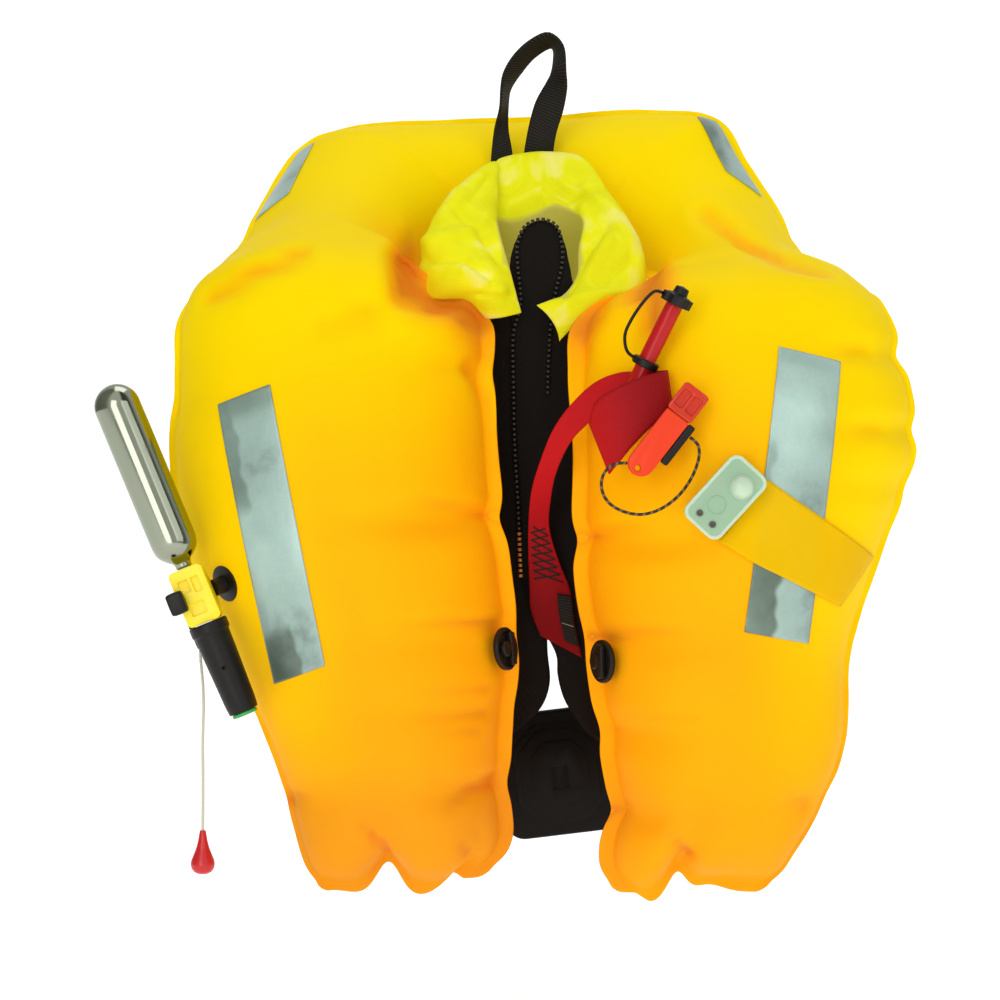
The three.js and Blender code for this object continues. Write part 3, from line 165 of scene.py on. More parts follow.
def line_distance(x, z, line):
    """Distance from points to a line in X and Z, and the share of the line where it is nearest."""
    best, where = np.full(x.shape, 1e9), np.zeros(x.shape)
    steps = np.asarray(line, float)
    lengths = np.linalg.norm(np.diff(steps, axis=0), axis=1)
    total, before = lengths.sum(), 0.0
    for a, b, length in zip(steps, steps[1:], lengths):
        t = np.clip(((x - a[0]) * (b[0] - a[0]) + (z - a[1]) * (b[1] - a[1])) / length ** 2, 0, 1)
        d = np.hypot(x - a[0] - t * (b[0] - a[0]), z - a[1] - t * (b[1] - a[1]))
        nearer = d < best
        best = np.where(nearer, d, best)
        where = np.where(nearer, (before + t * length) / total, where)
        before += length
    return best, where


def mesh_object(name, points, faces, material):
    """A smooth mesh of that name, with spaces in the name as underscores."""
    name = name.replace(" ", "_")
    mesh = bpy.data.meshes.new(name)
    mesh.from_pydata([tuple(p) for p in points], [], [tuple(f) for f in faces])
    mesh.validate()
    mesh.materials.append(material)
    mesh.polygons.foreach_set("use_smooth", [True] * len(mesh.polygons))
    obj = bpy.data.objects.new(name, mesh)
    bpy.context.scene.collection.objects.link(obj)
    return obj


def outward(obj):
    """Faces turned outward."""
    work = bmesh.new()
    work.from_mesh(obj.data)
    bmesh.ops.recalc_face_normals(work, faces=work.faces)
    work.to_mesh(obj.data)
    work.free()
    return obj


def point_values(obj, name, values):
    """A number on each of the mesh's points, for its material."""
    layer = obj.data.attributes.new(name, "FLOAT", "POINT")
    layer.data.foreach_set("value", np.asarray(values, np.float32))


def dress(obj, slot, *nodes):
    """The piece rides on the jacket and stands for its solids, which are hidden; its slot is not used."""
    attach(obj, BODY)
    if nodes:
        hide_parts(*nodes)
    return obj


def grid_faces(rows, columns, loop=False):
    """Quads of a grid of points; loop joins its last column to its first."""
    last = columns if loop else columns - 1
    return [(i * columns + j, i * columns + (j + 1) % columns,
             (i + 1) * columns + (j + 1) % columns, (i + 1) * columns + j)
            for i in range(rows - 1) for j in range(last)]


def grid_normals(grid):
    return unit(np.cross(np.gradient(grid, axis=0), np.gradient(grid, axis=1)))


def sheet_object(name, grid, thickness, material):
    """A thin closed wall on a grid of points, with its place along and across as UV."""
    rows, columns = grid.shape[:2]
    shift = grid_normals(grid) * thickness / 2
    points = np.concatenate([(grid + shift).reshape(-1, 3), (grid - shift).reshape(-1, 3)])
    count = rows * columns
    front = grid_faces(rows, columns)
    back = [tuple(count + k for k in reversed(face)) for face in front]
    order = np.arange(count).reshape(rows, columns)
    sides = (order[0], order[1:, -1], order[-1, -2::-1], order[-2:0:-1, 0])
    rim = np.concatenate(sides).tolist()
    edge = [(a, b, count + b, count + a) for a, b in zip(rim, rim[1:] + rim[:1])]
    obj = mesh_object(name, points, front + back + edge, material)
    steps = [np.linalg.norm(np.diff(grid, axis=a), axis=2).mean(axis=1 - a) for a in (0, 1)]
    run = [np.concatenate([[0], np.cumsum(s)]) for s in steps]
    flat = np.stack(np.meshgrid(run[1], run[0]), axis=2).reshape(-1, 2)
    uv = obj.data.uv_layers.new(name="cloth")
    where = np.zeros(len(obj.data.loops), int)
    obj.data.loops.foreach_get("vertex_index", where)
    uv.data.foreach_set("uv", np.tile(flat, (2, 1))[where].ravel())
    return outward(obj)


def strip_grid(rows, step, across):
    """Grid of a strip between two edge curves given as pairs of points."""
    edges = [np.array([row[k] for row in rows], float) for k in (0, 1)]
    places = even_places((edges[0] + edges[1]) / 2, step)
    left, right = spline(edges[0], places), spline(edges[1], places)
    share = np.linspace(0, 1, across)[None, :, None]
    return metres(left[:, None] * (1 - share) + right[:, None] * share)


def tube_object(name, line, radius, sides, material):
    """A round tube along points, with closed ends and its place along as UV."""
    line = np.asarray(line, float)
    tangents = unit(np.gradient(line, axis=0))
    side = np.cross(tangents[0], TUBE_SIDE)
    rings = []
    along = run_along(line)
    turn = np.linspace(0, 2 * math.pi, sides, endpoint=False)
    for point, tangent in zip(line, tangents):
        side = side - tangent * side.dot(tangent)
        side /= np.linalg.norm(side)
        other = np.cross(tangent, side)
        rings.append(point + radius * (np.cos(turn)[:, None] * side + np.sin(turn)[:, None] * other))
    points = np.concatenate(rings)
    faces = grid_faces(len(line), sides, loop=True)
    faces += [tuple(reversed(range(sides))), tuple(range(len(points) - sides, len(points)))]
    obj = mesh_object(name, points, faces, material)
    uv = obj.data.uv_layers.new(name="cloth")
    for loop in obj.data.loops:
        ring, spot = divmod(loop.vertex_index, sides)
        uv.data[loop.index].uv = (spot / sides, along[ring])
    return obj


def turned_object(name, profile, sides, material, matrix):
    """A turned body about its own Z from radius and height pairs in millimetres."""
    turn = np.linspace(0, 2 * math.pi, sides, endpoint=False)
    ring = np.stack([np.cos(turn), np.sin(turn), np.zeros(sides)], axis=1)
    points = np.concatenate([ring * max(r, TINY_RADIUS) + [0, 0, z] for r, z in profile])
    faces = grid_faces(len(profile), sides, loop=True)
    faces += [tuple(reversed(range(sides))), tuple(range(len(points) - sides, len(points)))]
    points = np.array([matrix @ Vector(p) for p in points])
    return outward(mesh_object(name, points * MM, faces, material))


def rounded(profile, reach=1.2):
    """A profile with its corners rounded off by short arcs of about the given reach."""
    pts = np.asarray(profile, float)
    out = [pts[0]]
    for a, b, c in zip(pts, pts[1:], pts[2:]):
        back, ahead = a - b, c - b
        cut = min(reach, *(MOST_ROUND * np.linalg.norm(way) for way in (back, ahead)))
        p, q = b + unit(back) * cut, b + unit(ahead) * cut
        out += [(1 - t) ** 2 * p + 2 * t * (1 - t) * b + t * t * q for t in np.linspace(0, 1, 5)]
    return [tuple(p) for p in out + [pts[-1]]]


def rounded_rectangle(width, height, corner, steps=8):
    """Corner points of a rounded rectangle, round from the lower right."""
    out = []
    for k, (sx, sz) in enumerate(((1, -1), (1, 1), (-1, 1), (-1, -1))):
        for t in np.linspace(0, math.pi / 2, steps):
            a = -math.pi / 2 + k * math.pi / 2 + t
            out.append((sx * (width / 2 - corner) + corner * math.cos(a),
                        sz * (height / 2 - corner) + corner * math.sin(a)))
    return out


def slab_object(name, outline, depth, bevel, material, matrix, segments=3):
    """An outline in X and Z, thick along Y, with rounded edges; millimetres."""
    count = len(outline)
    points = [(x, y, z) for y in (-depth / 2, depth / 2) for x, z in outline]
    faces = [tuple(range(count)), tuple(reversed(range(count, 2 * count)))]
    faces += [(k, k + count, (k + 1) % count + count, (k + 1) % count) for k in range(count)]
    points = [matrix @ Vector(p) * MM for p in points]
    obj = outward(mesh_object(name, points, faces, material))
    return bevelled(obj, bevel, segments) if bevel else obj


def block(name, size, material, matrix, points=8, segments=3):
    """A rounded rectangle, thick along Y: width, height, corner, depth and bevel in millimetres."""
    width, height, corner, depth, bevel = size
    outline = rounded_rectangle(width, height, corner, points)
    return slab_object(name, outline, depth, bevel, material, matrix, segments)


def apply_modifier(obj, kind, **settings):
    """Adds a modifier with its settings and makes its result the piece's mesh."""
    modifier = obj.modifiers.new(kind.lower(), kind)
    for key, value in settings.items():
        setattr(modifier, key, value)
    settled = bpy.data.meshes.new_from_object(obj.evaluated_get(bpy.context.evaluated_depsgraph_get()))
    old = obj.data
    obj.modifiers.clear()
    obj.data = settled
    settled.name = old.name
    bpy.data.meshes.remove(old)
    return obj


def bevelled(obj, width, segments=3, degrees=50):
    """Edges sharper than the angle rounded off, by a width in millimetres."""
    return apply_modifier(obj, "BEVEL", width=width * MM, segments=segments, limit_method="ANGLE",
                          angle_limit=math.radians(degrees))


def shade_by_angle(obj, degrees=35):
    """Smooth faces, with edges sharper than the angle kept crisp."""
    work = bmesh.new()
    work.from_mesh(obj.data)
    for face in work.faces:
        face.smooth = True
    for edge in work.edges:
        edge.smooth = len(edge.link_faces) < 2 or edge.calc_face_angle(0) < math.radians(degrees)
    work.to_mesh(obj.data)
    work.free()
    return obj


def fine_copy(node, name, material, angle=38, flat=2, levels=2, hold=0.85, crisp=40):
    """A rounder copy of a solid: its flats merged, its sharp edges held, its round walls smoothed."""
    obj = bpy.data.objects.new(name.replace(" ", "_"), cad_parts[node].data.copy())
    bpy.context.scene.collection.objects.link(obj)
    work = bmesh.new()
    work.from_mesh(obj.data)
    bmesh.ops.remove_doubles(work, verts=work.verts, dist=WELD_DISTANCE)
    bmesh.ops.dissolve_limit(work, angle_limit=math.radians(flat), verts=work.verts, edges=work.edges)
    crease = work.edges.layers.float.new("crease_edge")
    for edge in work.edges:
        if edge.calc_face_angle(0) > math.radians(angle):
            edge[crease] = hold
    work.to_mesh(obj.data)
    work.free()
    obj.data.materials.clear()
    obj.data.materials.append(material)
    apply_modifier(obj, "SUBSURF", levels=levels, render_levels=levels)
    return shade_by_angle(obj, crisp)


# Materials


def add(tree, kind, inputs=None, stops=None, **attributes):
    """One node with its attributes, its inputs as values or links, and a ramp's colour stops."""
    made = tree.nodes.new(kind)
    for name, value in attributes.items():
        setattr(made, name, value)
    for name, value in (inputs or {}).items():
        if isinstance(value, bpy.types.NodeSocket):
            tree.links.new(value, made.inputs[name])
        else:
            made.inputs[name].default_value = value
    for k, (place, shade) in enumerate(stops or []):
        elements = made.color_ramp.elements
        stop = elements[k] if k < 2 else elements.new(place)
        stop.position, stop.color = place, shade
    return made


def combined(tree, operation, *values, **settings):
    """The outcome of an operation on numbers or other nodes' outputs."""
    return add(tree, "ShaderNodeMath", dict(enumerate(values)), operation=operation, **settings).outputs[0]


def mixed(tree, share, first, second, blend="MIX"):
    """Two colours mixed by a share."""
    inputs = {0: share, 6: first, 7: second}
    return add(tree, "ShaderNodeMix", inputs, data_type="RGBA", blend_type=blend).outputs[2]


def mapped(tree, value, before, after=(0.0, 1.0)):
    """A value moved from one range to another."""
    inputs = {"Value": value, "From Min": before[0], "From Max": before[1],
              "To Min": after[0], "To Max": after[1]}
    return add(tree, "ShaderNodeMapRange", inputs).outputs[0]


def ramp(tree, place, stops):
    """A colour for each place from 0 to 1."""
    return add(tree, "ShaderNodeValToRGB", {"Fac": place}, stops=stops).outputs["Color"]


def noise(tree, scale, detail, **more):
    """Cloudy patches, one over the scale in metres across."""
    coords = add(tree, "ShaderNodeTexCoord")
    inputs = {"Vector": coords.outputs["Object"], "Scale": scale, "Detail": detail, **more}
    return add(tree, "ShaderNodeTexNoise", inputs).outputs["Fac"]


def bands(tree, scale, direction, squeeze=1.0, **more):
    """Bands on a piece whose UV is its own length and width in metres; squeeze narrows its width."""
    coords = add(tree, "ShaderNodeTexCoord")
    inputs = {"Vector": coords.outputs["UV"], "Scale": (squeeze, 1.0, 1.0)}
    flat = add(tree, "ShaderNodeMapping", inputs).outputs[0]
    inputs = {"Vector": flat, "Scale": scale, **more}
    return add(tree, "ShaderNodeTexWave", inputs, bands_direction=direction).outputs["Fac"]


def point_value(tree, name):
    """The number of that name on each of the mesh's points."""
    return add(tree, "ShaderNodeAttribute", attribute_name=name).outputs["Fac"]


def emboss(tree, shader, height, strength, depth):
    """Low relief from a height, so many metres deep."""
    bump = add(tree, "ShaderNodeBump", {"Height": height, "Strength": strength, "Distance": depth})
    tree.links.new(bump.outputs["Normal"], shader.inputs["Normal"])


def new_material(name, **sockets):
    """A material of that name with its shader's constant sockets set; returns it, tree and shader."""
    material = bpy.data.materials.new(name)
    material.use_nodes = True
    tree = material.node_tree
    shader = tree.nodes["Principled BSDF"]
    for key, value in sockets.items():
        shader.inputs[key.replace("_", " ")].default_value = value
    return material, tree, shader


def shaded(colour, factor):
    """A colour made darker or lighter by a factor."""
    return [min(1.0, c * factor) for c in colour[:3]] + [1.0]


def coated_nylon(colours):
    """Polyurethane-coated nylon, welded and blown up: a soft satin sheen over yellow, with painted shade
    that turns it orange in its folds, lower down and round the collar, and a faint weave that shows through
    the coating."""
    # The emission stands for light that passes through the blown-up skin from the far side
    material, tree, shader = new_material(
        "coated nylon", Roughness=0.55, Specular_IOR_Level=0.03, Emission_Color=linear("#FFA414"))
    drift = combined(tree, "MULTIPLY_ADD", noise(tree, 9.0, 2.0), 0.12, -0.06)
    tone = combined(tree, "ADD", point_value(tree, "painted_shade"), drift, use_clamp=True)
    # Painted shade: the ramp runs from the lit yellow to deep orange where shade falls
    colour = ramp(tree, tone, [
        (0.0, colours.bladder), (1.0, colours.bladder_shade), (0.3, linear("#FFCC00")),
        (0.52, linear("#FEB905")), (0.75, linear("#F6A30C")), (0.9, linear("#DD8C1A"))])
    tree.links.new(colour, shader.inputs["Base Color"])
    glow = combined(tree, "MULTIPLY_ADD", tone, 0.09, 0.03)
    tree.links.new(glow, shader.inputs["Emission Strength"])
    # Thread spacing about 0.5 mm, drawn at 1.6 mm so that it shows
    weave = noise(tree, 620.0, 1.0)
    pucker = noise(tree, 34.0, 3.0, Roughness=0.45)
    emboss(tree, shader, combined(tree, "MULTIPLY_ADD", weave, 0.05, pucker), 0.22, 0.004)
    return material


def retroreflective_film(colours):
    """Retroreflective silver film on cloth: cloudy grey-green with darker patches and a
    fine bead grain."""
    material, tree, shader = new_material("retroreflective film", Roughness=0.36, Metallic=0.3)
    cloud = noise(tree, 10.0, 5.0, Roughness=0.55)
    tone = ramp(tree, cloud, [(place, shaded(colours.tape, factor)) for place, factor in (
        (0.37, 0.42), (0.72, 1.2), (0.46, 0.85), (0.58, 1.02))])
    # Beads of 0.05 mm, drawn as 1.2 mm cells so that their grain shows
    coords = add(tree, "ShaderNodeTexCoord")
    bead = add(tree, "ShaderNodeTexVoronoi", {"Vector": coords.outputs["Object"], "Scale": 800.0})
    grain = mixed(tree, 0.08, tone, bead.outputs["Color"], "SOFT_LIGHT")
    speck = mapped(tree, cloud, (0.4, 0.65), (1.0, 0.75))
    darkening = combined(tree, "MULTIPLY", point_value(tree, "dark_patch"), speck)
    tree.links.new(mixed(tree, darkening, grain, linear("#4C5A48")), shader.inputs["Base Color"])
    emboss(tree, shader, noise(tree, 55.0, 3.0), 0.3, 0.002)
    return material


def fluorescent_polyester(colours):
    """Thin fluorescent polyester cloth: matt yellow-green that glows where light passes through it,
    with painted highlights and shade in cloudy patches, a pale lining on the inside darkened with painted
    shade, and a close weave."""
    # The dye gives back more light of its own colour than falls on it
    material, tree, shader = new_material(
        "fluorescent polyester", Roughness=0.7, Specular_IOR_Level=0.1, Emission_Strength=0.05,
        Emission_Color=colours.collar, Subsurface_Weight=0.12, Subsurface_Scale=0.01,
        Subsurface_Radius=(1.0, 0.9, 0.1))
    # Painted highlights and shade: cloudy paler and darker patches, as on folds that catch the light
    cloud = noise(tree, 20.0, 2.0, Distortion=1.2)
    outside = ramp(tree, cloud, [
        (0.36, shaded(colours.collar, 0.92)), (0.68, linear("#F6F17A")), (0.52, colours.collar)])
    # The lining's colour is partly painted shade
    tone = mixed(tree, point_value(tree, "lining"), outside, colours.lining)
    tree.links.new(tone, shader.inputs["Base Color"])
    # Threads of 0.3 mm, drawn at 2 mm so that they show
    weave = combined(tree, "MULTIPLY", bands(tree, 160.0, "X"), bands(tree, 160.0, "Y"))
    emboss(tree, shader, weave, 0.12, 0.0006)
    return material


def woven_nylon(colours):
    """Black woven nylon: almost no light comes back but a soft sheen along its folds."""
    material, tree, shader = new_material(
        "woven nylon", Roughness=0.75, Specular_IOR_Level=0.1, Sheen_Weight=0.02,
        Base_Color=colours.cloth)
    # Threads of 0.4 mm, drawn at 2.4 mm so that they show
    emboss(tree, shader, bands(tree, 130.0, "DIAGONAL"), 0.25, 0.0005)
    return material


# A wave texture of scale 1 has a band every 2 pi / 20 units
WAVE_PITCH = 0.31416


def webbing_material(name, colour, pitch, direction, light):
    """Woven polyester webbing of one colour: ribs along or across it, with painted highlights on their
    crests.
    Returns the material and the output that holds its colour."""
    material, tree, shader = new_material(name, Roughness=0.62, Specular_IOR_Level=0.12)
    rib = bands(tree, WAVE_PITCH / pitch, direction, Distortion=0.4, Detail=1.0)
    # Painted highlights: the ribs' crests are paler, as where they catch the light
    tone = ramp(tree, rib, [(0.1, shaded(colour, 0.72)), (0.95, shaded(colour, light))])
    tree.links.new(tone, shader.inputs["Base Color"])
    emboss(tree, shader, rib, 0.45, 0.0005)
    return material, tone


def black_webbing(colours):
    """Black polyester webbing with ribs across it that catch brown light."""
    pitch = bpy.context.scene.jacket_sizes.rib_pitch
    return webbing_material("black webbing", colours.webbing, pitch, "Y", 2.2)[0]


def red_webbing(colours):
    """Red polyester webbing with a fine slanted weave, with painted shade that darkens it towards its sewn
    lower end and inside its folded top.
    """
    material, clean = webbing_material("red webbing", colours.red_webbing, 0.0007, "DIAGONAL", 1.05)
    tree = material.node_tree
    # Painted shade: darker red where the strap lies in shade
    tone = mixed(tree, point_value(tree, "darkening"), clean, shaded(colours.red_webbing, 0.2))
    tree.links.new(tone, tree.nodes["Principled BSDF"].inputs["Base Color"])
    return material


def moulded(name, colour, roughness, grain=0.05, gloss=0.5, **sockets):
    """Injection-moulded plastic: one even colour, a clear highlight and a trace of mould grain."""
    material, tree, shader = new_material(
        name, Roughness=roughness, Base_Color=colour, IOR=1.52, Specular_IOR_Level=gloss, **sockets)
    # Spark-eroded grain of about 0.6 mm
    emboss(tree, shader, noise(tree, 1600.0, 2.0), grain, 0.0004)
    return material


def black_nylon_moulding(colours):
    """Glass-filled black nylon: dark with a broad grey highlight."""
    return moulded("black nylon moulding", linear("#12100D"), 0.42, 0.15, 0.25)


def abs_whistle(colours):
    """Moulded ABS, orange-red, half gloss."""
    return moulded("moulded ABS orange", colours.whistle, 0.33, 0.05, 0.2)


def clear_red_styrene(colours):
    """Tinted clear styrene: light passes through its thin walls and its edges burn bright."""
    return moulded("tinted clear styrene", shaded(colours.whistle, 0.95), 0.16, 0.0, 0.3,
                   Transmission_Weight=0.35, Subsurface_Weight=0.2, Subsurface_Scale=0.004)


def vinyl_tube(colours):
    """Soft red vinyl: deep red with long wet-looking highlights."""
    return moulded("soft vinyl", shaded(colours.red_plastic, 0.88), 0.25, 0.02, 0.2,
                   Coat_Weight=0.12, Coat_Roughness=0.12)


def milky_polycarbonate(colours):
    """Milky pale green polycarbonate: light spreads inside it, so edges and thin walls look paler."""
    return moulded("milky polycarbonate", colours.light, 0.3, 0.03, Subsurface_Weight=0.45,
                   Subsurface_Scale=0.006, Transmission_Weight=0.08)


def frosted_lens(colours):
    """Frosted polycarbonate lens: almost white, with light spread inside it."""
    return moulded("frosted polycarbonate", linear("#C2D8BC"), 0.25, 0.02, Subsurface_Weight=0.3,
                   Subsurface_Scale=0.006)


def golden_film(colours):
    """Thin polyurethane film over the yellow: golden, satin and half see-through."""
    return moulded("polyurethane film", linear("#FFCE00"), 0.5, 0.0, 0.05, Alpha=0.7)


def plated_steel(colours):
    """Bright-plated steel: mirrors its surroundings, with a little handling blur."""
    material, tree, shader = new_material("plated steel", Metallic=1.0, Roughness=0.09,
                                          Base_Color=linear("#9AA08E"))
    blur = mapped(tree, noise(tree, 60.0, 4.0), (0.35, 0.7), (0.06, 0.2))
    tree.links.new(blur, shader.inputs["Roughness"])
    return material


def abs_inflator(colours):
    """Moulded ABS, bright yellow."""
    return moulded("moulded ABS yellow", colours.inflator, 0.36)


def abs_indicator(colours):
    """Moulded ABS, green."""
    return moulded("moulded ABS green", linear("#2FA84A"), 0.36)


def red_bead_plastic(colours):
    """Solid red polypropylene with a soft gloss."""
    return moulded("red polypropylene", shaded(colours.red_plastic, 1.05), 0.3, 0.02)


def braided_cord(colours):
    """Braided polyester cord, black with gold tracers that run round it."""
    material, tree, shader = new_material("braided cord", Roughness=0.6)
    # One tracer every 3 mm
    tracer = bands(tree, 105.0, "DIAGONAL", squeeze=0.00314)
    tone = ramp(tree, tracer, [(0.6, linear("#17120C")), (0.85, linear("#7A6030"))])
    tree.links.new(tone, shader.inputs["Base Color"])
    emboss(tree, shader, tracer, 0.7, 0.0005)
    return material


def white_braid(colours):
    """Off-white braided polyester cord: matt, with a slanted braid."""
    material, tree, shader = new_material("white braid", Roughness=0.75, Base_Color=linear("#CBC8B4"))
    emboss(tree, shader, bands(tree, 150.0, "DIAGONAL", squeeze=0.003), 0.8, 0.0004)
    return material


def foam_pad(colours):
    """Moulded black foam skin: matt and very dark."""
    return moulded("moulded foam", linear("#0D0A08"), 0.45, 0.1, 0.14)


def acetal_teeth(colours):
    """Black acetal zip teeth: smooth, with small sharp highlights."""
    return moulded("black acetal", linear("#12100D"), 0.34)


def brass_teeth(colours):
    """Worn zip teeth that look like dull brass."""
    return new_material("dull brass", Metallic=0.6, Roughness=0.42, Base_Color=linear("#B98240"))[0]


def sewing_thread(colours):
    """Black polyester sewing thread: matt."""
    return new_material("sewing thread", Roughness=0.8, Base_Color=linear("#15100E"))[0]


def pale_thread(colours):
    """Pale polyester sewing thread: matt."""
    return new_material("pale sewing thread", Roughness=0.8, Base_Color=linear("#8E8773"))[0]


def contact_metal(colours):
    """Dark nickel contacts: a dull metal glint."""
    return new_material("nickel contact", Metallic=1.0, Roughness=0.35, Base_Color=linear("#6A685A"))[0]


MADE = {}


def finish(maker):
    """The material a function makes, made once."""
    name = maker.__name__
    if name not in MADE:
        MADE[name] = maker(bpy.context.scene.jacket_colours)
    return MADE[name]


# Stage

CAMERA_AT = (-0.032, -2.29, -0.208)
CAMERA_LENS, SENSOR_WIDTH = 99.0, 36.0
FLOOR_HEIGHT, FLOOR_HALF = -0.66, 3.0
# The floor runs level to here, then curves up into the backdrop
FLOOR_FRONT, FLOOR_BACK, BACKDROP_RADIUS, BACKDROP_TOP = -3.2, 2.9, 0.9, 2.6
# Brightness of the room round the jacket: bearing as a share of a turn, red, green and blue
ROOM = [
    (0.0, (0.8, 0.8, 0.8, 1)), (1.0, (0.8, 0.8, 0.8, 1)), (0.13, (0.75, 0.75, 0.75, 1)),
    (0.17, (0.3, 0.31, 0.28, 1)), (0.35, (0.36, 0.37, 0.34, 1)), (0.41, (1, 1, 1, 1)),
    (0.565, (1, 1, 1, 1)), (0.6, (0.1, 0.1, 0.09, 1)), (0.68, (0.14, 0.14, 0.12, 1)),
    (0.74, (0.85, 0.85, 0.85, 1)),
]
ROOM_STRENGTH = 0.84
# The room is darker below: upward share of a view, and the brightness there
ROOM_HEIGHTS, ROOM_LEVELS = (-0.9, 0.6), (0.5, 1.0)
# Lamps: name, place, width, height and watts; all of them aim at one point
LAMPS = [
    ("key light", (-0.8, -2.45, 0.2), 1.1, 1.8, 15), ("fill light", (1.5, -2.2, 0.5), 1.6, 1.6, 10),
    ("top light", (0.0, 0.3, 2.2), 1.5, 1.5, 13),
]
LAMPS_AIM = (0, 0, -0.2)


class JACKET_OT_stage(bpy.types.Operator):
    """Camera at the viewing angle, a pale floor that curves up behind, and soft studio light"""
    bl_idname = "jacket.stage"
    bl_label = "Stage"

    def execute(self, context):
        scene = context.scene
        camera = bpy.data.cameras.new("camera")
        camera.lens, camera.sensor_width = CAMERA_LENS, SENSOR_WIDTH
        eye = bpy.data.objects.new("camera", camera)
        eye.location, eye.rotation_euler = CAMERA_AT, (math.pi / 2, 0, 0)
        scene.collection.objects.link(eye)
        scene.camera = eye
        scene.view_settings.view_transform = "Standard"
        self.floor()
        self.world(scene)
        self.lamps(scene)
        return {"FINISHED"}

    def floor(self):
        line = [(FLOOR_FRONT, FLOOR_HEIGHT)]
        line += [(FLOOR_BACK + BACKDROP_RADIUS * math.sin(t),
                  FLOOR_HEIGHT + BACKDROP_RADIUS * (1 - math.cos(t)))
                 for t in np.linspace(0, math.pi / 2, 13)]
        line.append((FLOOR_BACK + BACKDROP_RADIUS, BACKDROP_TOP))
        points = [(side * FLOOR_HALF, y, z) for y, z in line for side in (-1, 1)]
        paint = new_material("matt white paint", Roughness=0.9, Emission_Strength=0.45,
                             Emission_Color=(1, 1, 1, 1), Base_Color=(0.93, 0.93, 0.93, 1))[0]
        mesh_object("floor", points, grid_faces(len(line), 2), paint)

    def world(self, scene):
        """An even white room, darker below, with two dark panels beside the camera for the metal."""
        world = bpy.data.worlds.new("studio room")
        scene.world = world
        world.use_nodes = True
        tree = world.node_tree
        coords = add(tree, "ShaderNodeTexCoord")
        way = add(tree, "ShaderNodeSeparateXYZ", {0: coords.outputs["Generated"]})
        back = combined(tree, "MULTIPLY", way.outputs["Y"], -1.0)
        bearing = combined(tree, "ARCTAN2", way.outputs["X"], back)
        room = ramp(tree, mapped(tree, bearing, (-math.pi, math.pi)), ROOM)
        height = mapped(tree, way.outputs["Z"], ROOM_HEIGHTS, ROOM_LEVELS)
        shader = tree.nodes["Background"]
        tree.links.new(mixed(tree, 1.0, room, height, "MULTIPLY"), shader.inputs["Color"])
        shader.inputs["Strength"].default_value = ROOM_STRENGTH

    def lamps(self, scene):
        for name, at, wide, high, power in LAMPS:
            data = bpy.data.lights.new(name, "AREA")
            data.shape, data.energy, data.size, data.size_y = "RECTANGLE", power, wide, high
            lamp = bpy.data.objects.new(name, data)
            lamp.location = at
            lamp.rotation_euler = (Vector(LAMPS_AIM) - Vector(at)).to_track_quat("-Z", "Y").to_euler()
            scene.collection.objects.link(lamp)


# Cords

WHISTLE_CORD_POINTS = [
    (64.9, -107, -179.9), (61.5, -107, -179.9), (57.5, -107, -180.2), (53, -107, -181.8),
    (48.6, -107.2, -185.6), (45.8, -107.4, -191.2), (45.2, -107.6, -198), (47.2, -107.8, -205),
    (51.8, -108.2, -211), (58.6, -108.6, -215.4), (67, -108.8, -218.2), (75.5, -108.8, -219),
    (84, -108.6, -217.4), (92, -108.4, -213.8), (99.8, -108, -208.4), (107, -107.8, -201.2),
    (113, -107.6, -192.4), (117.4, -107.4, -182.8), (119.6, -107.2, -173.6), (118.8, -107, -166.4),
    (115.6, -107, -162.6), (112.5, -107, -160.2),
]
PULL_CORD_POINTS = [
    (-265.5, -57, -324.9), (-265.4, -57, -330), (-265, -57, -336), (-264.3, -57, -343),
    (-263.6, -57, -351), (-263.2, -57, -360), (-263, -57, -369), (-263.2, -57, -379),
    (-263.5, -57, -390), (-263.6, -57, -402), (-263.5, -57, -414), (-263.4, -57, -426),
    (-263.4, -57, -439), (-263.5, -57, -452), (-263.6, -57, -465),
]
CORD_STEP, CORD_SIDES = 1.6, 12
# Bead: gap under the cord's end, rounding and sides, then radius and height of its outline
BEAD_GAP, BEAD_ROUND, BEAD_SIDES = 0.35, 0.6, 40
BEAD_PROFILE = [
    (0, 0), (2.2, 0), (2.8, -3), (3.6, -8), (5.2, -14), (7.4, -19.5), (9.0, -23.5), (9.4, -26.5),
    (8.8, -29.5), (7.0, -32.2), (4.0, -33.8), (0, -34.2),
]


class JACKET_OT_cords(bpy.types.Operator):
    """Whistle cord, pull cord and the pull cord's bead"""
    bl_idname = "jacket.cords"
    bl_label = "Cords"

    def execute(self, context):
        sizes = context.scene.jacket_sizes
        for name, points, thick, maker, slot in (
                ("whistle_cord", WHISTLE_CORD_POINTS, sizes.whistle_cord, braided_cord, "dark_cord"),
                ("pull_cord", PULL_CORD_POINTS, sizes.pull_cord, white_braid, "white_cord")):
            line = metres(spline(points, even_places(points, CORD_STEP)))
            cord = tube_object(name + "_braid", line, thick / 2, CORD_SIDES, finish(maker))
            dress(cord, slot, name)
            if name == "pull_cord":
                at = np.asarray(PULL_CORD_POINTS[-1]) + [0, -NECK_CENTRE, -BEAD_GAP]
                bead = turned_object("pull bead drop", rounded(BEAD_PROFILE, BEAD_ROUND), BEAD_SIDES,
                                     finish(red_bead_plastic), Matrix.Translation(at))
                dress(bead, "red_plastic", "pull_bead")
        return {"FINISHED"}


# Bladder: seam points at both sides of each section and its front and back bulges, from the
# left lobe's end over the neck to the right lobe's end

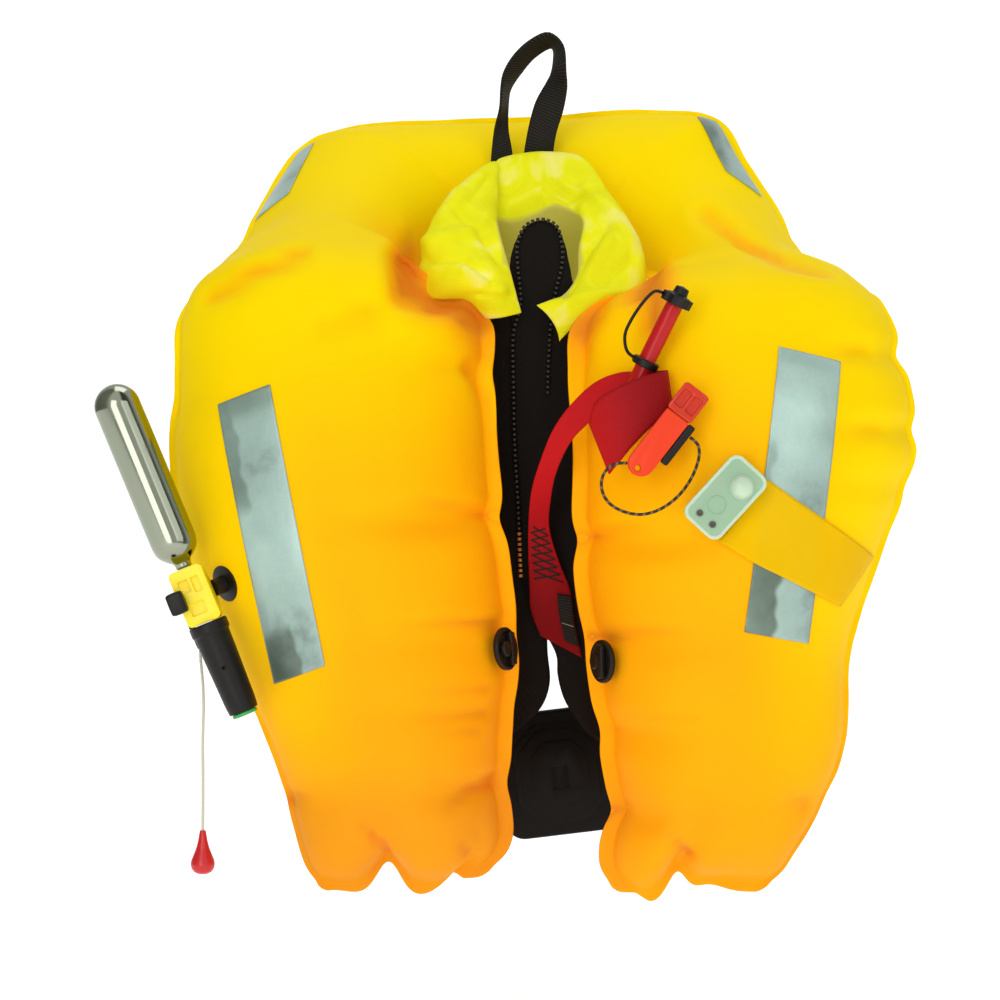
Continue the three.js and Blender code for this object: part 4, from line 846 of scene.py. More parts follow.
BLADDER_ROWS = [
    ((-44, 2, -502), (-172, 2, -512), 4, 4), ((-34, 2, -493), (-179, 2, -504), 34, 22),
    ((-28, 1, -476), (-186, 1, -486), 58, 42), ((-29, 0, -452), (-195, 0, -452), 75, 57),
    ((-29, 0, -400), (-212, 0, -400), 87, 67), ((-23, 0, -330), (-243, 0, -330), 95, 74),
    ((-31, 0, -250), (-278, 0, -250), 99, 76), ((-40, 2, -168), (-290, 0, -168), 97, 74),
    ((-43, 2, -105), (-286, 2, -105), 86, 60), ((-46, 2, -62), (-285, 14, -62), 72, 40),
    ((-78, 8, -38), (-267, 58, -32), 50, 34), ((-103, 50, -30), (-250, 108, -4), 50, 42),
    ((-106, 104, -22), (-237, 150, 31), 54, 51), ((-92, 152, -14), (-222, 181, 65), 60, 56),
    ((-64, 188, -8), (-203, 206, 96), 60, 58), ((-36, 213, -4), (-164, 218, 115), 62, 59),
    ((-16, 221, -3), (-80, 223, 121), 63, 60), ((2, 223, -3), (0, 224, 123), 63, 60),
    ((22, 221, -3), (94, 223, 130), 63, 60), ((42, 213, -4), (157, 217, 121), 62, 59),
    ((66, 188, -8), (180, 205, 82), 58, 58), ((90, 152, -14), (202, 182, 44), 50, 56),
    ((102, 104, -22), (214, 150, 10), 44, 51), ((99, 50, -30), (233, 108, -22), 36, 42),
    ((72, 8, -40), (260, 49, -35), 30, 34), ((33, 2, -66), (276, 10, -62), 66, 40),
    ((29, 2, -105), (288, 2, -105), 87, 60), ((33, 2, -168), (295, 0, -168), 97, 74),
    ((32, 0, -250), (267, 0, -250), 99, 76), ((42, 0, -330), (242, 0, -330), 95, 74),
    ((52, 0, -400), (238, 0, -400), 87, 67), ((60, 0, -452), (220, 0, -452), 75, 57),
    ((54, 1, -484), (199, 1, -487), 58, 42), ((55, 2, -502), (188, 2, -505), 34, 22),
    ((62, 2, -512), (178, 2, -513), 4, 4),
]
LAST_ROW = len(BLADDER_ROWS) - 1
# Part of a row to each side over which a section's direction is taken, and samples of the middle line
SLOPE_ROWS, MIDDLE_SAMPLES = 0.25, 1400
# Roundness of a section: 0.5 is an ellipse, more is a lens
LENS_POWER = 0.6
# The lobes' lower outer sides are blown up fuller, towards the seam
FULL_POWER, FULL_FROM, FULL_BELOW = 0.46, 0.3, (-300, -400)
# Half thickness of the welded seam
SEAM_HALF = 0.8
# Part of the seam margin that lies outside the table's seam points
SEAM_OUTSIDE = 7.0
# Step between rings, points across each face, and places across the seam margin
RING_STEP, FACE_COLUMNS, FLANGE_STEPS = 6.6, 40, (0.45, 1.0)
# Waves of the loose seam margin: rise, length over 2 pi, start
FLUTTER = ((1.3, 8.5, 0.0), (0.9, 4.7, 1.3))
# Flat rings past the lobes' ends: distance, and how far their corners are rounded in
END_RINGS = ((2.5, 1.0), (6.0, 4.0), (9.0, 10.0))
# Round sags of the end seams between their scallops: side, share of the width, drop, half width
END_SAGS = [(-1, 0.34, 9, 0.17), (-1, 0.82, 3, 0.12), (1, 0.16, 8, 0.12), (1, 0.66, -6, 0.16)]
# Height of the lobes' ends, and the fade of the sags above it
LOBE_FOOT, SAG_FADE = -512, 25
# Heights below which edges gather and ends are scalloped, shares where notches set in, least bulge
GATHERS_BELOW, SCALLOPS_BELOW, NOTCH_FROM, LEAST_BULGE = -70, -350, (0.45, 1.0), 0.05
# Gathers: lobe side, edge, height, share of the bulge lost, half height, reach inward, seam notch
EDGE_GATHERS = [
    (-1, -1, -224, 0.32, 13, 0.3, 5), (-1, -1, -316, 0.16, 15, 0.35, 2), (-1, -1, -372, 0.10, 10, 0.4, 1),
    (-1, -1, -434, 0.26, 12, 0.3, 4), (-1, 1, -438, 0.2, 16, 0.3, 1), (-1, -1, -108, 0.1, 10, 0.25, 2),
    (1, -1, -241, 0.3, 13, 0.3, 5), (1, -1, -318, 0.16, 15, 0.35, 2), (1, -1, -392, 0.2, 14, 0.3, 4),
    (1, -1, -456, 0.24, 11, 0.3, 4), (1, 1, -448, 0.2, 16, 0.3, 2), (1, 1, -94, 0.2, 9, 0.2, 8),
    (1, 1, -152, 0.2, 9, 0.2, 6), (1, 1, -196, 0.1, 10, 0.2, 3), (-1, 1, -128, 0.08, 14, 0.2, 2),
]
# Scallops of the lobes' lower ends: side, share of the width from the inner edge, seam's rise,
# half width, reach up, share of the bulge lost
END_GATHERS = [
    (-1, 0.1, 8, 0.07, 45, 0.24), (-1, 0.6, 22, 0.1, 55, 0.3), (1, 0.4, 19, 0.1, 55, 0.3),
]
# Deep folds between the lobes' tops and the neck roll: row, half, share, spread, depth
SHOULDER_FOLDS = [(11.2, 0.6, 1.0, 0.42, 0.45), (22.9, 0.5, 1.0, 0.4, 0.5)]
# Oval that the collar fills: middle, radii, top, fade and foot
WELL_AT, WELL_RADII, WELL_TOP, WELL_FADE, WELL_FOOT = (-13.5, 76), (95, 82.7), -34, 40, 0.55
# Creases on the front: line in X and Z, depth at its two ends, half width, first and last row
CREASES = [
    ([(-26, -222), (-60, -217), (-94, -208)], 5.0, 0.6, 5, 0, 10),
    ([(-36, -307), (-70, -303), (-106, -306)], 4.5, 0.8, 5, 0, 10),
    ([(-42, -355), (-92, -355)], 1.6, 0.4, 3.5, 0, 10),
    ([(-46, -376), (-94, -375)], 2.0, 0.4, 3.5, 0, 10),
    ([(-50, -387), (-86, -386)], 2.0, 0.4, 3.5, 0, 10),
    ([(-40, -432), (-58, -436), (-74, -446)], 4.0, 0.6, 5, 0, 10),
    ([(-55, -103), (-86, -101)], 3.0, 0.6, 5, 0, 10),
    ([(-57, -104), (-42, -130), (-35, -166), (-33, -190)], 3.6, 1.0, 5, 0, 10),
    ([(-170, -75), (-134, -62), (-110, -52)], 2.0, 6.5, 9, 7, 12),
    ([(-150, -84), (-120, -72)], 0.5, 2.0, 7, 7, 12),
    ([(-262, -45), (-222, -28), (-188, -14)], 8.0, 5.0, 7, 9, 13.4),
    ([(-122, -482), (-130, -470), (-142, -460)], 4.0, 0.6, 4, 0, 6),
    ([(-58, -486), (-64, -478)], 3.0, 0.6, 4, 0, 6),
    ([(-200, -446), (-182, -440)], 3.0, 0.4, 6, 0, 6),
    ([(32, -239), (56, -234), (80, -228)], 5.0, 0.6, 5, 24, 34),
    ([(42, -318), (70, -313), (106, -309)], 4.5, 0.8, 5, 24, 34),
    ([(66, -377), (118, -378)], 0.8, 1.4, 4, 24, 34),
    ([(58, -389), (108, -387)], 1.4, 0.4, 4, 24, 34),
    ([(50, -459), (72, -452)], 4.0, 0.6, 5, 24, 34),
    ([(54, -50), (36, -76), (30, -120)], 4.0, 1.5, 6, 24, 27),
    ([(116, -48), (146, -54)], 1.6, 0.5, 4, 23, 28),
    ([(120, -62), (142, -72)], 1.4, 0.4, 4, 23, 28),
    ([(126, -74), (140, -82)], 1.2, 0.4, 4, 23, 28),
    ([(142, 32), (168, 4), (190, -14), (226, -28)], 5.0, 6.5, 9, 20, 24.6),
    ([(166, 2), (194, -6)], 3.0, 2.0, 5, 20, 24.6),
    ([(116, -486), (108, -476), (98, -468)], 4.0, 0.6, 4, 28, 34),
    ([(208, -446), (190, -438)], 3.0, 0.4, 6, 28, 34),
    ([(-96, 8), (-108, -14), (-109, -36), (-101, -49), (-88, -54), (-78, -48)], 8.0, 9.0, 10, 8, 12.6),
    ([(76, 2), (88, -18), (84, -34), (71, -46)], 7.0, 8.0, 9, 22, 26),
    ([(252, -90), (226, -94)], 4.0, 0.5, 6, 24, 34),
    ([(262, -152), (240, -154)], 3.0, 0.5, 6, 24, 34),
]
# Creases fade out where the skin turns away, have a low lip along one side, and count as deep from here
CREASE_FACING, CREASE_LIP, CREASE_DEEP = (0.25, -0.15), 0.35, 6
# Cloth: mass of a point, stiffness, pressure, frames, quality and the furthest that a point may move
CLOTH_MASS, CLOTH_STIFFNESS, CLOTH_BENDING, CLOTH_PRESSURE = 0.15, 12.0, 0.1, 4.0
CLOTH_FRAMES, CLOTH_QUALITY, CLOTH_REACH = 14, 5, 5 * MM
# The skin keeps its place from here on: shares at the seam, heights at the neck, depths behind
SEAM_HOLD, NECK_HOLD, BACK_HOLD = (0.93, 0.985), (-130, -90), (40, 80)
# Lines in X and Z along which fittings rest on the skin, the half width that they hold, and the
# share of it that they hold firmly
FITTING_LINES = [([(50, -110), (80, -200), (139, -206)], 60), ([(-235, -240), (-235, -310)], 45),
                 ([(-30, -320), (-31, -340)], 40), ([(50, -320), (50, -345)], 40)]
FITTING_FIRM = 0.6
# Painted shade down the lobes: how far the colour goes from yellow to orange at each height
SHADE_HEIGHTS = (-510, -485, -455, -400, -330, -250, -180, -120, -70, -20)
SHADE_LEVELS = (0.88, 0.87, 0.88, 0.78, 0.7, 0.61, 0.52, 0.37, 0.18, 0.04)
# Painted light and shade: how much paler the right lobe's foot and the outer sides are, and how
# much deeper the painted shade on the inner sides, the ring round the collar and the creases
RIGHT_LOBE_PALER, OUTSIDE_PALER = 0.12, 0.78
INSIDE_WARMER, COLLAR_WARMER, CREASE_WARMER = 0.05, 0.55, 0.35
# Where the sides' colours set in: shares from the middle, then heights; where the collar's ring ends
OUTSIDE_FROM, OUTSIDE_UP, INSIDE_FROM, INSIDE_DOWN = (0.0, 0.9), (-490, -240), (0.8, 1.05), (-20, -90)
COLLAR_SHADE_TOP, COLLAR_SHADE_FOOT = (50, -10), (-120, -60)
# Depths between which the painted shade fades out behind, for the lobes and for the folds
SHADE_FADE, FOLD_FADE = (190, 60), (120, 60)
# Painted shade, deep orange, where the skin folds in round the collar: line in X and Z, strength, half
# width
SHADED_FOLDS = [
    ([(-96, 8), (-108, -14), (-106, -38), (-84, -54), (-58, -64)], 0.6, 12),
    ([(-62, -56), (-52, -90)], 0.15, 15), ([(86, 0), (94, -24), (90, -74)], 0.8, 13),
    ([(30, -72), (50, -58), (84, -52)], 0.2, 14), ([(-258, -43), (-222, -28), (-190, -14)], 0.24, 5),
    ([(156, 14), (168, 4), (194, -14)], 0.24, 5),
]
# Places where the collar lies over the skin: line in X and Z, depth the skin keeps, half width
COLLAR_REST = [([(-98, 14), (-99, -18), (-88, -36), (-64, -40), (-46, -54)], 34.0, 24)]
# Share of that width that is pressed fully, and the depths where the pressing fades out
COLLAR_REST_FULL, COLLAR_REST_FADE = 0.3, (120, 80)
# Reach of the painted shade round the collar
COLLAR_SHADE_REACH = 30.0


def bladder_sections(rows):
    """Middle, directions, half width and bulges of the sections at those rows."""
    places = np.asarray(rows, float) / LAST_ROW
    inner_line = [row[0] for row in BLADDER_ROWS]
    outer_line = [row[1] for row in BLADDER_ROWS]
    bulge = spline([(row[2], row[3]) for row in BLADDER_ROWS], places)
    inner, outer = spline(inner_line, places), spline(outer_line, places)
    reach = SLOPE_ROWS / LAST_ROW
    ends = [(spline(inner_line, places + d) + spline(outer_line, places + d)) / 2 for d in (reach, -reach)]
    along, across = unit(ends[0] - ends[1]), unit(outer - inner)
    return {
        "row": np.asarray(rows, float), "centre": (inner + outer) / 2, "along": along, "across": across,
        "front": unit(np.cross(along, across)), "bulge": bulge,
        "half": np.linalg.norm(outer - inner, axis=1) / 2,
    }


def end_margins(part):
    """The sections with flat rings added past both ends, for the seam margin there."""
    first, last = np.zeros(len(END_RINGS), int), np.full(len(END_RINGS), len(part["row"]) - 1)
    order = np.concatenate([first, np.arange(len(part["row"])), last])
    wide = {key: value[order].copy() for key, value in part.items()}
    for k, (out, tuck) in enumerate(END_RINGS):
        for ring, way in ((len(END_RINGS) - 1 - k, -1), (len(order) - len(END_RINGS) + k, 1)):
            wide["bulge"][ring] = 0.0
            wide["half"][ring] -= tuck
            wide["centre"][ring] += way * out * wide["along"][ring]
    return wide


def gathered(part, share):
    """Share of the bulge that stays, and how far the seam draws in, on rows by shares."""
    side = np.sign(part["centre"][:, 0])[:, None]
    height = part["centre"][:, 2][:, None]
    s = np.asarray(share)[None, :]
    kept = np.ones((len(height), s.shape[1]))
    drawn = np.zeros_like(kept)
    for lobe, edge, z, depth, half, reach, notch in EDGE_GATHERS:
        here = (side == lobe) * (height < GATHERS_BELOW) * bell(height - z, half)
        kept -= depth * here * bell((1 - edge * np.clip(s, -1, 1)) / 2, reach)
        drawn += edge * notch * here * smoothstep(*NOTCH_FROM, edge * s)
    for lobe, at, _, half, reach, depth in END_GATHERS:
        here = (side == lobe) * (height < SCALLOPS_BELOW) * bell(height - LOBE_FOOT, reach)
        kept -= depth * here * bell((s + 1) / 2 - at, half)
    for row, half, at, spread, depth in SHOULDER_FOLDS:
        kept -= depth * bell(part["row"][:, None] - row, half) * bell(s - at, spread)
    return np.maximum(kept, LEAST_BULGE), drawn


def seam_rise(part, share):
    """How far the lobes' end seams rise at the scallops and sag between them."""
    side = np.sign(part["centre"][:, 0])[:, None]
    height = part["centre"][:, 2][:, None] - LOBE_FOOT
    s = np.asarray(share)[None, :]
    rise = np.zeros((len(height), s.shape[1]))
    for lobe, at, lift, half, reach, _ in END_GATHERS:
        here = (side == lobe) * (height < 2 * reach) * bell(height, reach / 2)
        rise += lift * here * bell((s + 1) / 2 - at, half)
    for lobe, at, drop, half in END_SAGS:
        here = (side == lobe) * bell(np.maximum(height, 0), SAG_FADE)
        rise -= drop * here * bell((s + 1) / 2 - at, half)
    return rise


def clear_of_collar(points):
    """Points inside the collar's oval move out to its wall."""
    depth = np.clip((points[..., 2] - WELL_TOP + WELL_FADE) / WELL_FADE, 0, 1)
    size = WELL_FOOT + (1 - WELL_FOOT) * depth
    dx, dy = points[..., 0] - WELL_AT[0], points[..., 1] - WELL_AT[1]
    reach = np.hypot(dx / (WELL_RADII[0] * size), dy / (WELL_RADII[1] * size))
    push = np.where((reach < 1) & (depth > 0), 1 / np.maximum(reach, 1e-6), 1.0)
    out = points.copy()
    out[..., 0], out[..., 1] = WELL_AT[0] + dx * push, WELL_AT[1] + dy * push
    return out


def bladder_points(part, share, face, margin):
    """Points of the bladder's skin; a share past 1 lies on the seam margin."""
    s = np.asarray(share, float)
    within = np.clip(s, -1, 1)
    kept, drawn = gathered(part, s)
    bulge = part["bulge"][:, 0 if face > 0 else 1][:, None]
    low = smoothstep(*FULL_BELOW, part["centre"][:, 2])[:, None]
    fuller = low * smoothstep(FULL_FROM, 1.0, within)[None, :]
    power = LENS_POWER + (FULL_POWER - LENS_POWER) * fuller
    height = np.maximum(SEAM_HALF, bulge * np.maximum(0, 1 - within ** 2)[None, :] ** power * kept)
    half = part["half"][:, None] - (margin - SEAM_OUTSIDE)[None, :]
    out = half * within[None, :] + ((s - within) * margin)[None, :] - drawn
    run = run_along(part["centre"])[:, None]
    flutter = sum(rise * np.sin(run / length + start) for rise, length, start in FLUTTER)
    lean = np.abs(s - within)[None, :] * flutter
    points = (part["centre"][:, None] + part["across"][:, None] * out[..., None]
              + part["front"][:, None] * (face * height + lean)[..., None])
    points[..., 2] += seam_rise(part, within)
    return clear_of_collar(points)


def ring_rows():
    """Rows of the rings, about one ring step apart along the middle line."""
    dense = np.linspace(0, LAST_ROW, MIDDLE_SAMPLES)
    middle = bladder_sections(dense)["centre"]
    run = run_along(middle)
    return np.interp(np.linspace(0, run[-1], int(run[-1] / RING_STEP)), run, dense)


class JACKET_OT_bladder(bpy.types.Operator):
    """The inflated bladder: two lobes and the neck roll, welded all round"""
    bl_idname = "jacket.bladder"
    bl_label = "Bladder"

    def execute(self, context):
        sizes = context.scene.jacket_sizes
        lens = np.cos(np.pi * (np.arange(FACE_COLUMNS) + 0.5) / FACE_COLUMNS)
        flange = np.array(FLANGE_STEPS)
        share = np.concatenate([(1 + flange)[::-1], lens, -1 - flange])
        margin = np.where(share > 0, sizes.outer_seam, sizes.seam_width) / MM
        part = end_margins(bladder_sections(ring_rows()))
        faces = [bladder_points(part, share, face, margin) for face in (1, -1)]
        grid = np.concatenate([faces[0], faces[1][:, ::-1]], axis=1)
        shares = np.concatenate([share, share[::-1]])
        front = np.concatenate([np.ones(len(share)), np.zeros(len(share))])
        grid, fold = self.creased(self.under_collar(grid), part["row"], front)
        # Painted shade on the skin's points turns its colour orange where shade falls
        painted_shade = self.painted_shade(grid, shares, fold)
        obj = self.skin(metres(grid), painted_shade)
        self.blow_up(obj, self.held(grid, shares).ravel())
        apply_modifier(obj, "SUBSURF", levels=1, render_levels=1)
        dress(obj, "bladder_fabric", "bladder")
        return {"FINISHED"}

    def under_collar(self, grid):
        """The skin pressed back where the collar lies over it."""
        for line, depth, half in COLLAR_REST:
            d, _ = line_distance(grid[..., 0], grid[..., 2], line)
            y = grid[..., 1]
            press = smoothstep(half, COLLAR_REST_FULL * half, d) * smoothstep(*COLLAR_REST_FADE, y)
            grid[..., 1] = y + np.maximum(depth - y, 0) * press
        return grid

    def creased(self, grid, rows, front):
        """The front with its creases pressed in, and how deep each point lies in one."""
        normal = unit(np.cross(np.roll(grid, -1, 1) - np.roll(grid, 1, 1), np.gradient(grid, axis=0)))
        # Outward is away from the section's own middle
        outward_way = grid - grid.mean(axis=1, keepdims=True)
        normal *= np.sign((normal * outward_way).sum(2).mean())
        move = np.zeros(grid.shape[:2])
        x, z = grid[..., 0], grid[..., 2]
        for line, first, last, half, low, high in CREASES:
            d, t = line_distance(x, z, line)
            here = ((rows >= low) & (rows <= high))[:, None] * smoothstep(*CREASE_FACING, normal[..., 1])
            depth = (first + (last - first) * t) * front[None, :] * here
            move += depth * (CREASE_LIP * bell(d - 2.0 * half, half) - bell(d, half))
        return grid + normal * move[..., None], np.clip(-move / CREASE_DEEP, 0, 1)

    def painted_shade(self, grid, shares, fold):
        """Painted shade: how far each point's colour goes from yellow to orange."""
        x, y, z = grid[..., 0], grid[..., 1], grid[..., 2]
        level = np.interp(z, SHADE_HEIGHTS, SHADE_LEVELS) * smoothstep(*SHADE_FADE, y)
        s = shares[None, :]
        level = level * (1 - RIGHT_LOBE_PALER * (x > 0) * smoothstep(*FULL_BELOW, z))
        level = level * (1 - OUTSIDE_PALER * smoothstep(*OUTSIDE_FROM, s) * smoothstep(*OUTSIDE_UP, z))
        level += INSIDE_WARMER * smoothstep(*INSIDE_FROM, -s) * smoothstep(*INSIDE_DOWN, z)
        for line, strength, half in SHADED_FOLDS:
            level += strength * bell(line_distance(x, z, line)[0], half) * smoothstep(*FOLD_FADE, y)
        ring = np.hypot((x - WELL_AT[0]) / WELL_RADII[0], (y - WELL_AT[1]) / WELL_RADII[1])
        near = (ring - 1) * sum(WELL_RADII) / 2
        beside = smoothstep(*COLLAR_SHADE_TOP, z) * smoothstep(*COLLAR_SHADE_FOOT, z)
        level += COLLAR_WARMER * bell(np.maximum(near, 0), COLLAR_SHADE_REACH) * beside
        return np.clip(level + CREASE_WARMER * fold, 0, 1)

    def skin(self, grid, painted_shade):
        """The closed skin, with its painted shade on its points."""
        rings, columns = grid.shape[:2]
        faces = grid_faces(rings, columns, loop=True)
        for ring in (0, rings - 1):
            first = ring * columns
            for k in range(columns // 2 - 1):
                face = (first + k, first + k + 1, first + columns - 2 - k, first + columns - 1 - k)
                faces.append(face if ring else face[::-1])
        obj = mesh_object("bladder skin", grid.reshape(-1, 3), faces, finish(coated_nylon))
        point_values(obj, "painted_shade", painted_shade.ravel())
        return outward(obj)

    def held(self, grid, shares):
        """How firmly each point keeps its place while the skin is blown up."""
        x, y, z = grid[..., 0], grid[..., 1], grid[..., 2]
        firm = np.repeat(smoothstep(*SEAM_HOLD, np.abs(shares))[None, :], len(grid), axis=0)
        firm = np.maximum(firm, np.maximum(smoothstep(*NECK_HOLD, z), smoothstep(*BACK_HOLD, y)))
        for line, half in FITTING_LINES:
            firm = np.maximum(firm, smoothstep(half, FITTING_FIRM * half, line_distance(x, z, line)[0]))
        return firm

    def blow_up(self, obj, held):
        """Cloth under pressure, held along its seams and under the fittings, puckers a little."""
        rest = np.array([v.co for v in obj.data.vertices])
        group = obj.vertex_groups.new(name="held")
        for k, weight in enumerate(held):
            group.add([k], float(weight), "REPLACE")
        cloth = obj.modifiers.new("pressure", "CLOTH")
        cloth.settings.quality = CLOTH_QUALITY
        cloth.settings.mass = CLOTH_MASS
        cloth.settings.tension_stiffness = cloth.settings.compression_stiffness = CLOTH_STIFFNESS
        cloth.settings.bending_stiffness = CLOTH_BENDING
        cloth.settings.use_pressure = True
        cloth.settings.uniform_pressure_force = CLOTH_PRESSURE
        cloth.settings.vertex_group_mass = group.name
        cloth.settings.effector_weights.gravity = 0
        cloth.collision_settings.use_collision = False
        cloth.point_cache.frame_start, cloth.point_cache.frame_end = 1, CLOTH_FRAMES
        scene = bpy.context.scene
        for number in range(1, CLOTH_FRAMES + 1):
            scene.frame_set(number)
        shape = obj.evaluated_get(bpy.context.evaluated_depsgraph_get()).data
        moved = np.array([v.co for v in shape.vertices]) - rest
        obj.modifiers.remove(cloth)
        obj.vertex_groups.remove(group)
        scene.frame_set(1)
        reach = np.linalg.norm(moved, axis=1)
        if not np.isfinite(reach).all():
            raise RuntimeError("the bladder's cloth did not settle")
        scale = np.minimum(1, CLOTH_REACH / np.maximum(reach, 1e-9)) * (1 - held)
        obj.data.vertices.foreach_set("co", (rest + moved * scale[:, None]).ravel().astype(np.float32))
        obj.data.update()


# Reflective tape: upper and lower corners in X and Z

FRONT_TAPES = {
    "left": (((-251, -134), (-209, -119)), ((-207, -351), (-166, -335))),
    "right": (((183, -90), (232, -101)), ((155, -309), (206, -319))),
}
NECK_TAPES = {
    "left": (((-206, 94), (-193, 101)), ((-240, 29), (-210, 50))),
    "right": (((140, 126), (157, 124)), ((162, 74), (192, 52))),
}
# Points along and across each tape, and its lift off the skin
TAPE_ROWS, TAPE_COLUMNS, TAPE_LIFT = {"front": 110, "neck": 30}, 32, 0.9
# Darker patches of the front tapes: shares across and along from the top, strength
TAPE_DARK_PATCHES = {
    "left": [((-0.1, 0.28), (-0.1, 0.42), 0.55), ((-0.1, 1.1), (-0.1, 0.1), 0.45),
             ((-0.1, 0.6), (0.8, 1.1), 0.7)],
    "right": [((-0.1, 0.47), (0.66, 1.1), 0.95), ((-0.1, 0.16), (0.3, 0.6), 0.4)],
}
# Uneven edges of those patches: height and rate of two waves, and how soft the edges are
PATCH_WAVES, PATCH_SOFT = ((0.03, 31), (0.02, 77)), (0.08, 0.06)
# Y of a place in front of the whole jacket, and of places past the outline that still lie on it
IN_FRONT, PAST_EDGE = -0.6, 0.1


def skin_tree():
    """The finished bladder as a tree for finding points on it."""
    return BVHTree.FromObject(bpy.data.objects["bladder_skin"], bpy.context.evaluated_depsgraph_get())


def laid_on_front(tree, flat, lift):
    """A grid of X and Z places in millimetres laid on the bladder's front, lifted off it."""
    out = np.zeros(flat.shape[:2] + (3,))
    for i, j in np.ndindex(flat.shape[:2]):
        x, z = flat[i, j] * MM
        hit, normal, _, _ = tree.ray_cast(Vector((x, IN_FRONT, z)), Vector((0, 1, 0)))
        if hit is None:
            # Past the outline, on to the nearest point of the rounded edge
            hit, normal, _, _ = tree.find_nearest(Vector((x, PAST_EDGE, z)))
        out[i, j] = hit + normal * lift * MM
    return out


def four_corner_grid(top, bottom, rows, columns):
    u = np.linspace(0, 1, columns)[None, :, None]
    v = np.linspace(0, 1, rows)[:, None, None]
    a, b, c, d = (np.asarray(corner, float)[None, None] for corner in (*top, *bottom))
    return (a * (1 - u) + b * u) * (1 - v) + (c * (1 - u) + d * u) * v


def smoothed_grid(grid, rounds):
    """A grid with small bumps evened out, its edges kept."""
    for _ in range(rounds):
        grid[1:-1] = (grid[:-2] + 2 * grid[1:-1] + grid[2:]) / 4
        grid[:, 1:-1] = (grid[:, :-2] + 2 * grid[:, 1:-1] + grid[:, 2:]) / 4
    return grid


class JACKET_OT_tapes(bpy.types.Operator):
    """Four reflective tapes on the bladder"""
    bl_idname = "jacket.tapes"
    bl_label = "Reflective tapes"

    def execute(self, context):
        thick = context.scene.jacket_sizes.tape_thickness
        tree = skin_tree()
        for place, tapes in (("front", FRONT_TAPES), ("neck", NECK_TAPES)):
            rows = TAPE_ROWS[place]
            for side, (top, bottom) in tapes.items():
                grid = laid_on_front(tree, four_corner_grid(top, bottom, rows, TAPE_COLUMNS), TAPE_LIFT)
                tape = sheet_object(f"tape {place} {side}", grid, thick, finish(retroreflective_film))
                dark_patches = TAPE_DARK_PATCHES[side] if place == "front" else []
                point_values(tape, "dark_patch", np.tile(self.darkened(rows, dark_patches).ravel(), 2))
                dress(tape, "reflective_tape", f"reflective_tape_{place}_{side}")
        return {"FINISHED"}

    def darkened(self, rows, dark_patches):
        """How dark each point of a tape's grid is."""
        u, v = np.linspace(0, 1, TAPE_COLUMNS)[None, :], np.linspace(0, 1, rows)[:, None]
        u = u + sum(height * np.sin(rate * v) for height, rate in PATCH_WAVES)
        across, along = PATCH_SOFT
        darkness = np.zeros((rows, TAPE_COLUMNS))
        for (left, right), (top, low), strength in dark_patches:
            inside = smoothstep(left, left + across, u) * smoothstep(right, right - across, u)
            inside = inside * smoothstep(top, top + along, v) * smoothstep(low, low - along, v)
            darkness = np.maximum(darkness, strength * inside)
        return darkness


# Collar: inner hem, fold at the neck, shoulder and outer hem of each section, left end to right end

COLLAR_ROWS = [
    ((-20, 46, -51), (-15, 34, -56), (-30, 27, -60), (-43, 31, -61)),
    ((-22, 48, -45), (-21, 33, -34), (-40, 20, -40), (-59, 28, -46)),
    ((-28, 62, -35), (-26, 40, -14), (-59, 18, -24), (-88, 30, -44)),
    ((-34, 84, -29), (-31, 54, 5), (-79, 37, -6), (-98, 48, -26)),
    ((-37, 104, -28), (-34, 70, 19), (-76, 58, 20), (-92, 66, 10)),
    ((-39, 112, -27), (-35, 84, 25), (-59, 86, 50), (-77, 98, 41)),
    ((-39, 116, -27), (-35, 92, 26), (-37, 124, 76), (-52, 134, 58)),
    ((-35, 122, -26), (-34, 108, 26), (-32, 140, 81), (-37, 148, -5)),
    ((-24, 128, -29), (-20, 114, 25), (-18, 141, 85), (-22, 151, -5)),
    ((-1, 132, -30), (-3, 116, 31), (7, 142, 87), (7, 152, -4)),
    ((20, 128, -29), (15, 114, 39), (39, 137, 81), (43, 148, -5)),
    ((33, 116, -28), (30, 104, 32), (57, 116, 54), (63, 126, -3)),
    ((41, 98, -29), (37, 86, 23), (73, 84, 23), (81, 94, -9)),
    ((39, 76, -34), (33, 64, -1), (77, 52, -1), (86, 60, -30)),
    ((35, 58, -40), (31, 48, -25), (72, 34, -33), (83, 44, -47)),
    ((22, 48, -49), (19, 36, -42), (49, 19, -40), (54, 24, -51)),
    ((10, 46, -51), (9, 34, -46), (31, 21, -54), (34, 25, -61)),
    ((4, 46, -50), (-2, 35, -50), (11, 28, -64), (16, 30, -79)),
]
COLLAR_THICKNESS = 0.0012
COLLAR_STEPS, LINING_COLUMNS, COLLAR_COLUMNS, LINING_SAG = 240, 12, 36, 5.0
# Column near the middle of the outside
COLLAR_MIDDLE = LINING_COLUMNS + 16
# Shares close to the fold: the lining's last two and the outside's first four
LINING_LAST, OUTSIDE_FIRST = (0.9, 0.98), (0, 0.02, 0.05, 0.09)
# Folds fade out where the cloth turns away
FOLD_FACING = (0.35, -0.05)
